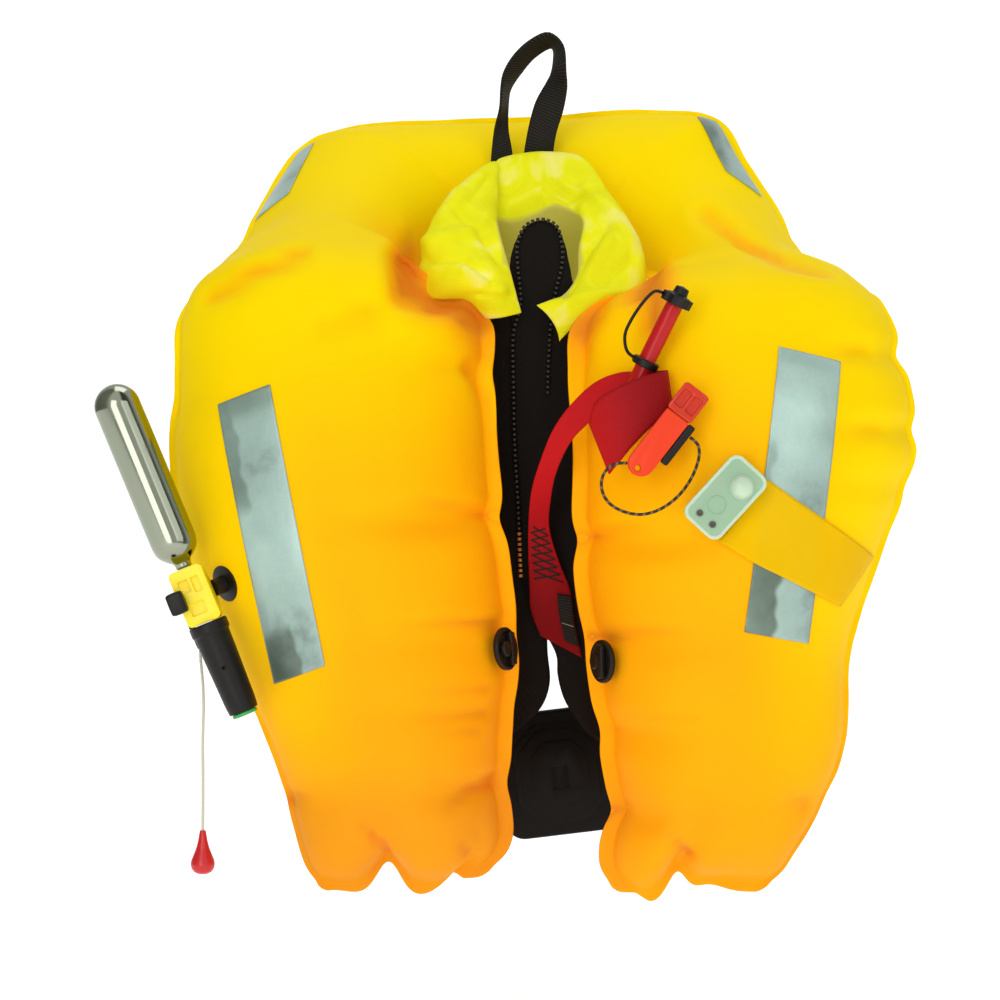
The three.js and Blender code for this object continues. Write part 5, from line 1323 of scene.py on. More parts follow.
# Folds of the cloth: line in X and Z, depth at its two ends (negative rises), half width
COLLAR_FOLDS = [
    ([(-72, 34), (-51, 15), (-30, -13)], 4.0, 8.0, 4.5), ([(-90, 3), (-57, 12), (-42, 26)], -5.0, -4.0, 6),
    ([(-92, -13), (-63, -12), (-39, -32)], 5.0, 5.0, 4.5), ([(-50, -42), (-19, -45)], 2.0, 2.0, 2.5),
    ([(-60, -22), (-30, -38)], -3.5, -3.0, 4), ([(2, 78), (2, 44)], 1.8, 1.6, 2.2),
    ([(54, 19), (40, -1), (30, -17), (20, -39)], 7.0, 9.0, 4),
    ([(40, 54), (60, 34), (74, 6)], -5.0, -4.0, 6),
    ([(20, 40), (36, 50), (52, 50)], 6.0, 3.0, 4), ([(58, 4), (38, -29)], -6.0, -4.0, 5),
    ([(75, -10), (50, -32)], 4.0, 4.0, 4), ([(-42, 62), (-62, 32)], 4.0, 2.0, 4),
    ([(-66, 48), (-80, 22)], -3.0, -3.0, 5), ([(-20, 36), (4, 50), (22, 60)], -4.0, -4.0, 5),
    ([(38, 36), (33, 4)], -4.0, -3.0, 3.5), ([(66, 24), (48, 22), (40, 30)], 4.0, 2.0, 3.5),
]


class JACKET_OT_collar(bpy.types.Operator):
    """The folded cloth collar round the neck"""
    bl_idname = "jacket.collar"
    bl_label = "Collar"

    def execute(self, context):
        v = np.linspace(0, 1, COLLAR_STEPS)
        low, fold, shoulder, hem = (spline([row[k] for row in COLLAR_ROWS], v)[:, None] for k in range(4))
        s = np.append(np.linspace(0, LINING_LAST[0], LINING_COLUMNS - 2), LINING_LAST[1])[None, :, None]
        lining = low + (fold - low) * s + np.array([0, LINING_SAG, 0]) * np.sin(np.pi * s)
        evenly = np.linspace(OUTSIDE_FIRST[3], 1, COLLAR_COLUMNS - 3)
        t = np.concatenate([OUTSIDE_FIRST[:3], evenly])[None, :, None]
        cloth = fold * (1 - t) * (1 - 2 * t) + shoulder * 4 * t * (1 - t) + hem * t * (2 * t - 1)
        grid = np.concatenate([lining, cloth], axis=1)
        normal = grid_normals(grid)
        normal *= -np.sign(normal[:, LINING_COLUMNS:COLLAR_MIDDLE, 1].mean())
        press = np.zeros(grid.shape[:2])
        for line, first, last, half in COLLAR_FOLDS:
            d, share = line_distance(grid[..., 0], grid[..., 2], line)
            press += (first + (last - first) * share) * bell(d, half)
        outside = np.arange(grid.shape[1]) >= LINING_COLUMNS
        press *= outside[None, :] * smoothstep(*FOLD_FACING, normal[..., 1])
        grid = metres(grid - normal * press[..., None])
        collar = sheet_object("collar cloth", grid, COLLAR_THICKNESS, finish(fluorescent_polyester))
        inside = np.tile(1.0 - outside, (len(v), 1))
        point_values(collar, "lining", np.tile(inside.ravel(), 2))
        dress(collar, "collar_cloth", "collar")
        return {"FINISHED"}


# Cloth fronts of the harness: height, inner edge, outer edge

COVER_LEFT_ROWS = [
    (-40, 8, -72), (-66, 8, -84), (-110, 8, -96), (-160, 8, -136), (-215, 8, -190), (-270, 7, -212),
    (-330, 7, -212), (-356, 9, -206), (-372, 5, -202), (-384, -3, -196), (-398, -19, -190),
    (-420, -52, -166),
]
COVER_RIGHT_ROWS = [
    (21, -1, 5), (16, -11, 14), (2, -20, 21), (-16, -24, 25), (-36, -22, 31), (-50, -22, 62),
    (-72, -22, 78), (-110, -21, 94), (-160, -20, 136), (-215, -17, 190), (-270, -15, 214),
    (-308, 0, 218), (-335, 14, 218), (-350, 15, 217), (-364, 18, 214), (-376, 23, 210),
    (-398, 40, 202), (-420, 72, 180),
]
COVER_THICKNESS = 0.0016
COVER_ROWS, COVER_COLUMNS, COVER_STEP_BACK = 110, 40, 2.8
# Rise of the cloth's ripples, how far out from the zip they start, and their lengths over 2 pi
COVER_RIPPLE, RIPPLE_FROM, RIPPLE_LENGTHS = 0.8, (20, 50), (13, 17, 29)
# Depth of the cloth: at the zip, out at the sides, where it turns from one to the other, how sharply
COVER_VALLEY, COVER_PLANE, COVER_FLAT, COVER_TURN, COVER_POWER = 52.0, 76.6, 34.0, 120.0, 1.4
# Heights of the zip's lower end and of its brass end, and its way in from the tongue's edge
ZIP_LOW, ZIP_BRASS_TOP, ZIP_INSET = -290, -233, 6.5
# The row keeps that way in between these heights, and leaves the tongue's right edge at the last
INSET_TOP, INSET_FOOT, ZIP_TURN = (16, -16), (-80, -50), -20
ZIP_RIGHT_END = [(14, 0, -36), (10, 0, -60), (8, 0, -90), (7, 0, -120)]
# Tooth: length, width and height, and its rings' heights and sizes as shares; seat in front of the cloth
TOOTH, TOOTH_SEAT, TOOTH_BEVEL = (3.8, 3.0, 2.8), 1.2, 0.9
TOOTH_RINGS = ((0.6, 1.0), (-TOOTH[2] * 0.6, 1.0), (-TOOTH[2], 0.55))


def cover_depth(x):
    """Depth of the cloth fronts at a place across them."""
    share = np.clip((np.abs(x) - COVER_FLAT) / (COVER_TURN - COVER_FLAT), 0, 1)
    return COVER_VALLEY + (COVER_PLANE - COVER_VALLEY) * np.sin(np.pi / 2 * share) ** COVER_POWER


class JACKET_OT_fronts(bpy.types.Operator):
    """Black cloth fronts with the zip's row of teeth"""
    bl_idname = "jacket.fronts"
    bl_label = "Cloth fronts and zip"

    def execute(self, context):
        for side, rows, step in (
                ("left", COVER_LEFT_ROWS, COVER_STEP_BACK), ("right", COVER_RIGHT_ROWS, 0.0)):
            table = [(inner, outer, height) for height, inner, outer in rows]
            edge = spline(table, np.linspace(0, 1, COVER_ROWS))
            u = np.linspace(0, 1, COVER_COLUMNS)[None, :]
            x = edge[:, :1] + (edge[:, 1:2] - edge[:, :1]) * u
            z = np.repeat(edge[:, 2:], COVER_COLUMNS, axis=1)
            a, b, c = RIPPLE_LENGTHS
            ripple = COVER_RIPPLE * np.sin(z / a + x / b) * np.sin(x / c)
            ripple *= smoothstep(*RIPPLE_FROM, np.abs(x))
            grid = metres(np.stack([x, cover_depth(x) + step + ripple, z], axis=2))
            cover = sheet_object(f"cloth front {side}", grid, COVER_THICKNESS, finish(woven_nylon))
            dress(cover, "black_cloth", f"cover_{side}")
        self.zip(context.scene.jacket_sizes.zip_pitch / MM)
        return {"FINISHED"}

    def zip(self, pitch):
        """Teeth along the tongue's edge, brass at the lower end."""
        left, right = [], []
        for z, inner, outer in COVER_RIGHT_ROWS:
            inset = ZIP_INSET * smoothstep(*INSET_TOP, z)
            if z >= ZIP_LOW:
                left.append((inner + inset * smoothstep(*INSET_FOOT, z), 0, z))
            if z >= ZIP_TURN:
                right.append((outer - inset, 0, z))
        path = np.array(left[::-1] + right + ZIP_RIGHT_END, float)
        places = even_places(path, pitch)
        line = spline(path, places)
        way = unit(np.gradient(line, axis=0))
        for name, chosen, maker in (
                ("zip teeth", line[:, 2] > ZIP_BRASS_TOP, acetal_teeth),
                ("zip teeth brass", line[:, 2] <= ZIP_BRASS_TOP, brass_teeth)):
            points, faces = [], []
            for k in np.flatnonzero(chosen):
                x, _, z = line[k]
                y = cover_depth(x) - TOOTH_SEAT
                out = np.array([way[k][2], 0, -way[k][0]])
                for dy, scale in TOOTH_RINGS:
                    for a, b in ((-1, -1), (1, -1), (1, 1), (-1, 1)):
                        spot = np.array([x, y + dy, z]) + out * a * TOOTH[0] / 2 * scale
                        points.append(spot + way[k] * b * TOOTH[1] / 2 * scale)
                base = len(points) - 12
                faces += [tuple(base + n for n in f) for f in grid_faces(3, 4, loop=True)]
                faces += [tuple(base + n for n in (3, 2, 1, 0)), tuple(base + n for n in (8, 9, 10, 11))]
            teeth = outward(mesh_object(name, metres(points), faces, finish(maker)))
            bevelled(teeth, TOOTH_BEVEL, degrees=30)
            dress(teeth, "black_plastic", *(["zip_row"] if name == "zip teeth" else []))


# Webbing: two edges of each station

LOOP_ROWS = [
    ((-40, 153.6, 40), (-21, 153.6, 40)), ((-40, 155, 80), (-21, 155, 86)),
    ((-37, 151, 106), (-25, 157, 111)), ((-32, 140, 126), (-25, 163, 134)),
    ((-31, 139, 142), (-23, 163, 145)), ((-29, 140, 155), (-13, 162, 160)),
    ((-20, 142, 171), (-2, 160, 172)), ((-6, 143, 184), (12, 160, 180)), ((9, 142, 190), (14, 161, 178)),
    ((21, 140, 180), (14, 163, 168)), ((24, 143, 156), (12, 163, 158)), ((25, 147, 144), (8, 159, 150)),
    ((22, 150, 125), (-1, 156, 134)), ((16, 152, 105), (-6, 155, 118)), ((13, 155, 82), (-12, 155, 84)),
    ((13, 153.6, 40), (-12, 153.6, 40)),
]
STRAP_ROWS = [
    ((1, 49.8, -319), (35, 49.8, -337)), ((-7, 47, -297), (29, 48, -308)),
    ((-8, 43, -277), (25, 45, -281)), ((-9, 37, -253), (16, 39, -258)), ((-9, 25, -228), (8, 29, -231)),
    ((-7, 4, -202), (9, 6, -205)), ((0, -22, -177), (14, -24, -182)), ((11, -40, -151), (25, -48, -160)),
    ((25, -47, -132), (40, -56, -145)), ((43, -54, -116), (55, -64, -132)),
    ((62, -66, -109), (73, -73, -129)), ((82, -73, -109), (88, -80, -134)),
    ((96, -83, -108), (100, -88, -139)), ((91, -99, -110), (98, -97, -142)),
    ((76, -105, -114), (86, -99, -150)), ((57, -103, -122), (72, -98, -164)),
    ((42, -92, -132), (61, -94, -177)), ((37, -79, -149), (52, -86, -188)),
]
# Loose end on the red strap, and its zigzag seam: shares across, shares along
STRAP_END = ((0.66, 0.99), (0.02, 0.115))
ZIGZAG = ((0.12, 0.88), (0.14, 0.26), 7)
# Rows of the red strap's lower end, which face the viewer
LOW_ROWS = 20
# Step along and points across each webbing
LOOP_MESH, STRAP_MESH, BELT_MESH = (2.0, 12), (2.0, 14), (3.0, 18)
# Points across and along the loose end, and its height over the strap
END_POINTS, END_LIFT = (8, 18), 0.5
# Its seam: place along it, margin on both sides, points
END_SEAM = (0.4, 0.03, 14)
# Thread radii in metres, sides of a thread, and threads' height as a share of the webbing's thickness
PALE_RADIUS, DARK_RADIUS, THREAD_SIDES, THREAD_LIFT = 0.0004, 0.0007, 6, (0.6, 0.62)
# Painted shade, darker red: at the sewn lower end, by height in metres, and inside the folded top, by share
# along
LOW_STRAP_SHADE, LOW_SHADE_FROM = 0.75, (-0.19, -0.31)
TOP_STRAP_SHADE, TOP_SHADE_FROM, TOP_SHADE_LESS, TOP_SHADE_TO = 0.66, (0.74, 0.84), 0.5, (0.84, 1.0)
BELT_HEIGHT = 40.0
BELT_ROWS = {
    "left": [(-178, 81.7, -390), (-200, 86, -393), (-210, 124, -399), (-192, 180, -416), (-136, 226, -436),
             (-70, 246, -446), (-31.8, 250, -449)],
    "right": [(190, 78.9, -390), (212, 84, -393), (221, 124, -398), (208, 180, -412), (164, 224, -430),
              (110, 245, -440), (75.4, 250, -443)],
}


def on_grid(grid, across, along):
    """A point on a grid at shares across and along it."""
    rows, columns = grid.shape[:2]
    i, j = along * (rows - 1), across * (columns - 1)
    a, b = min(int(i), rows - 2), min(int(j), columns - 2)
    p, q = i - a, j - b
    return ((grid[a, b] * (1 - q) + grid[a, b + 1] * q) * (1 - p)
            + (grid[a + 1, b] * (1 - q) + grid[a + 1, b + 1] * q) * p)


class JACKET_OT_webbing(bpy.types.Operator):
    """Lifting loop, red lifting strap with its loose end and stitching, and the waist belt"""
    bl_idname = "jacket.webbing"
    bl_label = "Webbing"

    def execute(self, context):
        thick = context.scene.jacket_sizes.webbing_thickness
        grid = strip_grid(LOOP_ROWS, *LOOP_MESH)
        loop = sheet_object("lifting loop webbing", grid, thick, finish(black_webbing))
        dress(loop, "black_webbing", "lifting_loop")
        grid = strip_grid(STRAP_ROWS, *STRAP_MESH)
        strap = sheet_object("lifting strap webbing", grid, thick, finish(red_webbing))
        # Painted shade on the strap's points
        point_values(strap, "darkening", np.tile(self.strap_shade(grid).ravel(), 2))
        dress(strap, "red_webbing", "lifting_strap")
        front = grid_normals(grid)
        front *= -np.sign(front[:LOW_ROWS, :, 1].mean())
        self.strap_end(grid, front, thick)
        self.zigzag(grid + front * thick * THREAD_LIFT[1])
        for side, points in BELT_ROWS.items():
            rows = [((x, y, z - BELT_HEIGHT / 2), (x, y, z + BELT_HEIGHT / 2)) for x, y, z in points]
            grid = strip_grid(rows, *BELT_MESH)
            belt = sheet_object(f"waist belt {side} webbing", grid, thick, finish(black_webbing))
            dress(belt, "black_webbing", f"waist_belt_{side}")
        return {"FINISHED"}

    def strap_shade(self, grid):
        """Painted shade on the red strap: how dark each point is at its sewn lower end and inside its
        folded top.
        """
        along = np.linspace(0, 1, len(grid))[:, None]
        low = LOW_STRAP_SHADE * smoothstep(*LOW_SHADE_FROM, grid[..., 2])
        top = TOP_STRAP_SHADE - TOP_SHADE_LESS * smoothstep(*TOP_SHADE_TO, along)
        return np.maximum(low, smoothstep(*TOP_SHADE_FROM, along) * top)

    def strap_end(self, grid, front, thick):
        """The loose end that lies on the strap, with its seam."""
        lifted = grid + front * (thick + END_LIFT * MM)
        across, along = STRAP_END
        patch = np.array([[on_grid(lifted, u, v) for u in np.linspace(*across, END_POINTS[0])]
                          for v in np.linspace(*along, END_POINTS[1])])
        end = sheet_object("strap end webbing", patch, thick, finish(black_webbing))
        dress(end, "black_webbing", "strap_end")
        lifted = lifted + front * thick * THREAD_LIFT[0]
        share, margin, count = END_SEAM
        v = along[0] + share * (along[1] - along[0])
        line = np.array([on_grid(lifted, u, v)
                         for u in np.linspace(across[0] + margin, across[1] - margin, count)])
        seam = tube_object("strap end stitches", line, PALE_RADIUS, THREAD_SIDES, finish(pale_thread))
        dress(seam, "black_webbing")

    def zigzag(self, lifted):
        """Two crossing runs of thread that sew the strap down."""
        across, along, turns = ZIGZAG
        for run in (0, 1):
            corners = [(across[(k + run) % 2], along[0] + (along[1] - along[0]) * k / turns)
                       for k in range(turns + 1)]
            line = []
            for (u0, v0), (u1, v1) in zip(corners, corners[1:]):
                line += [on_grid(lifted, u0 + (u1 - u0) * t, v0 + (v1 - v0) * t)
                         for t in np.linspace(0, 1, 10)[:-1]]
            seam = tube_object(f"strap stitches {run + 1}", np.array(line), DARK_RADIUS, THREAD_SIDES,
                               finish(sewing_thread))
            dress(seam, "red_webbing")


# Hard pieces


def placed(at, turn):
    """Placement of a group in millimetres: turned about Y, then moved; the seam plane is y = 0."""
    return Matrix.Translation(np.asarray(at, float) + [0, -NECK_CENTRE, 0]) @ Matrix.Rotation(turn, 4, "Y")


def shifted(place, *way):
    """A placement moved on by a way given along its own axes."""
    return place @ Matrix.Translation(way)


def cut(obj, *cutters):
    """The piece with the cutters taken out of it."""
    for cutter in cutters:
        apply_modifier(obj, "BOOLEAN", operation="DIFFERENCE", object=cutter, solver="EXACT")
        bpy.data.objects.remove(cutter)
    return obj


# Oral tube: place and turn of its foot
ORAL_AT, ORAL_TURN = (59.74, -77.33, -143.52), (0.9715, 0.0719, 0.2259, 0.0)
# Tether: its way out from the tube's axis and up the tube, and its ring's radii and heights
TETHER_BOW = [(9.8, 46), (16.6, 48), (23.6, 58), (24.6, 72), (21, 92.8), (17.6, 99.2), (12.2, 100.4)]
TETHER_RING = [
    (7.5, 43.6), (7.5, 43), (9.8, 43), (10.6, 43.8), (10.6, 48.2), (9.8, 49), (7.5, 49), (7.5, 43.6)]
TETHER_HALF, TETHER_STEP, TETHER_SIDES, RING_SIDES = 1.3, 1.5, 12, 36
# Cap: radius and height from the tube's end, and the grip ribs' count and rise
CAP_AT = 102.0
CAP_SHELL = [(0, 0.4), (7.6, 0.4), (10.6, -6), (11.0, 1.2), (9.6, 2.2), (6.0, 3.0), (5.4, 8.4), (0, 9.6)]
CAP_RIBS, CAP_RIB_RISE, RIB_SIDES = 10, 1.5, 6
# Ribs stand on the skirt, at and past this radius; reach of the cap's rounded corners
RIBS_FROM, CAP_ROUND = CAP_SHELL[2][0] - 0.3, 0.7


class JACKET_OT_oral_valve(bpy.types.Operator):
    """Oral tube with its cap and tether"""
    bl_idname = "jacket.oral_valve"
    bl_label = "Oral tube"

    def execute(self, context):
        dress(fine_copy("oral_tube", "oral tube moulding", finish(vinyl_tube)), "red_plastic", "oral_tube")
        place = Matrix.Translation(np.asarray(ORAL_AT) + [0, -NECK_CENTRE, 0])
        place = place @ Quaternion(ORAL_TURN).to_matrix().to_4x4()
        black = finish(black_nylon_moulding)
        bow = [(-out, 0, up) for out, up in TETHER_BOW]
        line = [place @ Vector(p) * MM for p in spline(bow, even_places(bow, TETHER_STEP))]
        strip = tube_object("cap tether strip", line, TETHER_HALF * MM, TETHER_SIDES, black)
        dress(strip, "black_plastic", "cap_tether")
        ring = turned_object("cap tether ring", TETHER_RING, RING_SIDES, black, place)
        dress(shade_by_angle(ring), "black_plastic")
        seat = shifted(place, 0, 0, CAP_AT)
        shell = rounded(CAP_SHELL, CAP_ROUND)
        cap = turned_object("oral cap moulding", shell, CAP_RIBS * RIB_SIDES, black, seat)
        self.rib(cap, seat)
        dress(shade_by_angle(cap), "black_plastic", "oral_cap")
        return {"FINISHED"}

    def rib(self, cap, place):
        """Grip ribs round the cap's skirt."""
        back = place.inverted()
        for vertex in cap.data.vertices:
            spot = back @ (vertex.co / MM)
            out = math.hypot(spot.x, spot.y)
            if out > RIBS_FROM:
                crest = max(0.0, math.cos(CAP_RIBS * math.atan2(spot.y, spot.x)))
                grown = 1 + CAP_RIB_RISE * crest / out
                vertex.co = place @ Vector((spot.x * grown, spot.y * grown, spot.z)) * MM


# Whistle: middle and turn
WHISTLE_AT, WHISTLE_TURN = (94, -107, -156), 0.66
# Width, depth, body length, mouthpiece length, and the gap between the two
WHISTLE_SIZE, WHISTLE_GAP = (20.5, 13.0, 56.0, 25.0), 0.35
# Points round its foot, and the cord's eye: radius and height over the foot
FOOT_POINTS, EYE_RADIUS, EYE_RISE = 25, 2.2, 5.5
# Mouthpiece, its windows and the clip as blocks; bevels after cutting; ways aside and clip's rise
LIPS, WINDOW, CLIP = (22.5, 24.65, 3, 12.0, 0), (7, 14, 1, 7, 0), (6, 36, 1.5, 10, 1.0)
BARREL_BEVEL, LIPS_BEVEL, WINDOW_ASIDE, CLIP_ASIDE, CLIP_RISE = 1.3, 0.8, 5, 13.6, 38
# Reach of a cutter that goes right through
THROUGH = 20


class JACKET_OT_whistle(bpy.types.Operator):
    """Whistle with its two-window mouthpiece and clip"""
    bl_idname = "jacket.whistle"
    bl_label = "Whistle"

    def execute(self, context):
        width, depth, body, mouth = WHISTLE_SIZE
        place = placed(WHISTLE_AT, WHISTLE_TURN)
        low = -(body + mouth) / 2
        join = low + body
        half = width / 2
        outline = [(half, join - WHISTLE_GAP), (-half, join - WHISTLE_GAP)]
        outline += [(half * math.cos(t), low + half + half * math.sin(t))
                    for t in np.linspace(math.pi, 2 * math.pi, FOOT_POINTS)]
        orange = finish(abs_whistle)
        barrel = slab_object("whistle moulding", outline, depth, 0, orange, place)
        eye = turned_object("eye", [(EYE_RADIUS, -THROUGH), (EYE_RADIUS, THROUGH)], 24, orange,
                            shifted(place, 0, 0, low + EYE_RISE) @ FACING)
        bevelled(cut(barrel, eye), BARREL_BEVEL, 4)
        dress(shade_by_angle(barrel), "orange_plastic", "whistle_body")
        clear = finish(clear_red_styrene)
        middle = join + mouth / 2
        lips = block("whistle lips", LIPS, clear, shifted(place, 0, 0, middle))
        cut(lips, *[block("window", WINDOW, clear, shifted(place, side * WINDOW_ASIDE, -depth / 2, middle))
                    for side in (-1, 1)])
        dress(shade_by_angle(bevelled(lips, LIPS_BEVEL)), "clear_red_plastic", "whistle_mouthpiece")
        clip = block("whistle clip moulding", CLIP, finish(black_nylon_moulding),
                     shifted(place, CLIP_ASIDE, 0, low + CLIP_RISE))
        dress(shade_by_angle(clip), "black_plastic", "whistle_clip")
        return {"FINISHED"}


# Rescue light: middle and turn; case, front rim and the rim's well as blocks
LIGHT_AT, LIGHT_TURN = (139, -108.42, -206), 0.74
LIGHT_CASE, LIGHT_RIM, RIM_WELL = (35, 62, 8, 17, 3.2), (35.8, 62.8, 8, 3, 0), (30, 57, 5.5, THROUGH, 0)
# Face in front of the middle, the rim behind the face, bevel of the rim; points round corners and edges
FACE_AT, RIM_BACK, RIM_BEVEL, CORNER_POINTS, EDGE_POINTS = -8.5, 1.2, 0.9, 10, 5
# Lens: radius and height of its flange, radius and rise of its dome, place on the face
LENS_FLANGE, LENS_FOOT, LENS_DOME, LENS_PLACE = 9.4, (-0.2, 0.5), (8.6, 7.0), (4, 14, 0.3)
# Button ring and contact pins: radius and height, and places on the face
BUTTON_RING = [(6.4, -0.3), (6.4, 0.25), (6.9, 0.45), (7.4, 0.25), (7.4, -0.3)]
BUTTON_PLACE, LENS_SIDES = (-1, -9, 0.1), 40
PIN_PROFILE = [(0, 0.2), (1.1, 0.2), (1.3, 1.2), (2.0, 1.4), (2.6, 1.0), (2.6, -0.3)]
PIN_PLACES, PIN_SIDES = ((-6.5, -22, 0.35), (6.5, -22, 0.35)), 24
# Film that holds the light: upper and lower edge in X and Z, points along and across, lift, thickness
LIGHT_STRAP_ROWS = [
    ((172, -192), (136, -240)), ((196, -209), (158, -254)), ((222, -226), (190, -270)),
    ((262, -252), (232, -291)),
]
FILM_POINTS, FILM_LIFT, FILM_THICKNESS = (40, 22), 2.0, 0.0006


class JACKET_OT_rescue_light(bpy.types.Operator):
    """Rescue light with its lens, contacts and the golden film that holds it"""
    bl_idname = "jacket.rescue_light"
    bl_label = "Rescue light"

    def execute(self, context):
        place = placed(LIGHT_AT, LIGHT_TURN)
        front = shifted(place, 0, FACE_AT, 0)
        face = front @ FACING
        milky, frosted = finish(milky_polycarbonate), finish(frosted_lens)
        case = block("light housing", LIGHT_CASE, milky, place, CORNER_POINTS, EDGE_POINTS)
        dress(shade_by_angle(case), "light_plastic", "light_case")
        rim = block("light rim", LIGHT_RIM, frosted, shifted(front, 0, RIM_BACK, 0), CORNER_POINTS)
        cut(rim, block("rim well", RIM_WELL, milky, front, CORNER_POINTS))
        dress(shade_by_angle(bevelled(rim, RIM_BEVEL)), "light_plastic")
        radius, rise = LENS_DOME
        profile = [(LENS_FLANGE, z) for z in LENS_FOOT]
        profile += [(radius * math.cos(t), LENS_FOOT[1] + rise * math.sin(t))
                    for t in np.linspace(0, math.pi / 2, 14)]
        dome = turned_object("light lens", profile, LENS_SIDES, frosted, shifted(face, *LENS_PLACE))
        dress(dome, "light_plastic", "light_dome")
        button = turned_object("light button ring", BUTTON_RING, LENS_SIDES, milky,
                               shifted(face, *BUTTON_PLACE))
        dress(button, "light_plastic")
        for k, at in enumerate(PIN_PLACES):
            pin = turned_object(f"light contact {k + 1}", PIN_PROFILE, PIN_SIDES, finish(contact_metal),
                                shifted(face, *at))
            dress(pin, "contact_metal", *(["light_contacts"] if k == 0 else []))
        self.strap()
        return {"FINISHED"}

    def strap(self):
        """The film from the light to the lobe's outer edge, laid on the skin."""
        rows = np.array(LIGHT_STRAP_ROWS, float)
        places = np.linspace(0, 1, FILM_POINTS[0])
        top, bottom = spline(rows[:, 0], places), spline(rows[:, 1], places)
        u = np.linspace(0, 1, FILM_POINTS[1])[None, :, None]
        grid = laid_on_front(skin_tree(), top[:, None] * (1 - u) + bottom[:, None] * u, FILM_LIFT)
        film = sheet_object("light strap film", smoothed_grid(grid, 2), FILM_THICKNESS, finish(golden_film))
        dress(film, "film", "light_strap")


# Inflator: middle and turn; radius and height of the cylinder, its domed end and the cap
INFLATOR_AT, INFLATOR_TURN = (-267.43, -70.85, -281.72), -0.394
CYLINDER_PROFILE = [
    (0, 22.9), (6.4, 22.9), (6.4, 26.9), (7.4, 28.5), (10.5, 31), (14, 34), (16.6, 38), (17.8, 43),
    (18, 48), (18, 158)]
CYLINDER_DOME = (18.0, 158.0, 18.0)
CAP_PROFILE = [
    (0, -22.9), (14.4, -22.9), (15.4, -23.9), (15.4, -30.9), (13.9, -32.4), (13.7, -47), (12.9, -70),
    (12.4, -88), (11.6, -97), (0, -97)]
END_PROFILE = [(0, -97.3), (10, -97.3), (10, -100.3), (0, -100.3)]
# Reach of the cylinder's and the cap's rounded corners, and the sides of cylinder, cap, end and pit
BOTTLE_ROUND, GRIP_ROUND = 2.0, 1.2
BOTTLE_SIDES, GRIP_SIDES, END_SIDES, PIT_SIDES = 72, 56, 48, 20
# Pit in the cap's front: its profile and its height
PIT_PROFILE, PIT_AT = [(1.8, 8), (1.8, 20)], -60
# Housing as a block, its front, and its bevel after cutting; X and Z of each recess, and it as a block
HOUSING, HOUSING_FRONT, HOUSING_BEVEL = (27, 45, 4, 23, 0), -11.5, 1.2
RECESSES = [(-4.5, 9, (8, 10, 1, 7, 0)), (5, 8, (6, 12, 1, 7, 0)), (-1, -10, (12, 10, 1, 7, 0))]


class JACKET_OT_inflator(bpy.types.Operator):
    """Gas cylinder, inflator body, cap, end, knob, lever and stem"""
    bl_idname = "jacket.inflator"
    bl_label = "Inflator"

    def execute(self, context):
        place = placed(INFLATOR_AT, INFLATOR_TURN)
        black = finish(black_nylon_moulding)
        radius, foot, rise = CYLINDER_DOME
        dome = [(radius * math.cos(t), foot + rise * math.sin(t)) for t in np.linspace(0, math.pi / 2, 16)]
        profile = rounded(CYLINDER_PROFILE, BOTTLE_ROUND) + dome[1:]
        bottle = turned_object("gas cylinder bottle", profile, BOTTLE_SIDES, finish(plated_steel), place)
        dress(bottle, "steel", "gas_cylinder")
        profile = rounded(CAP_PROFILE, GRIP_ROUND)
        cap = turned_object("inflator cap moulding", profile, GRIP_SIDES, black, place)
        pit = turned_object("pit", PIT_PROFILE, PIT_SIDES, black, shifted(place, 0, 0, PIT_AT) @ FACING)
        dress(shade_by_angle(cut(cap, pit)), "black_plastic", "inflator_cap")
        profile = rounded(END_PROFILE)
        end = turned_object("inflator end moulding", profile, END_SIDES, finish(abs_indicator), place)
        dress(end, "green_plastic", "inflator_indicator")
        self.body(place)
        for node in ("inflator_knob", "inflator_lever", "inflator_stem"):
            dress(fine_copy(node, node.replace("_", " ") + " moulding", black), "black_plastic", node)
        return {"FINISHED"}

    def body(self, place):
        """The housing with its recessed front."""
        yellow = finish(abs_inflator)
        body = block("inflator housing", HOUSING, yellow, place)
        for x, z, size in RECESSES:
            cut(body, block("recess", size, yellow, shifted(place, x, HOUSING_FRONT, z)))
        dress(shade_by_angle(bevelled(body, HOUSING_BEVEL)), "yellow_plastic", "inflator_body")


# Stud: radius and height of its dished disc and of the boss on it
STUD_DISC = [
    (0, 0.2), (7, 0.2), (7, 3.4), (16.2, 3.4), (17.2, 4.4), (17.2, 7), (16, 8), (14, 8), (13, 6.8),
    (0, 6.8)]
STUD_BOSS = [(0, 6.6), (6.2, 6.6), (6.2, 10.4), (5.2, 11.4), (0, 11.4)]
STUD_ROUND, DISC_SIDES, BOSS_SIDES, BOSS_ASIDE = 0.7, 48, 32, 5.5
# Bar across the disc as a block, and its place
BAR, BAR_PLACE = (26, 6.5, 2, 5, 1), (0, -4, 9)


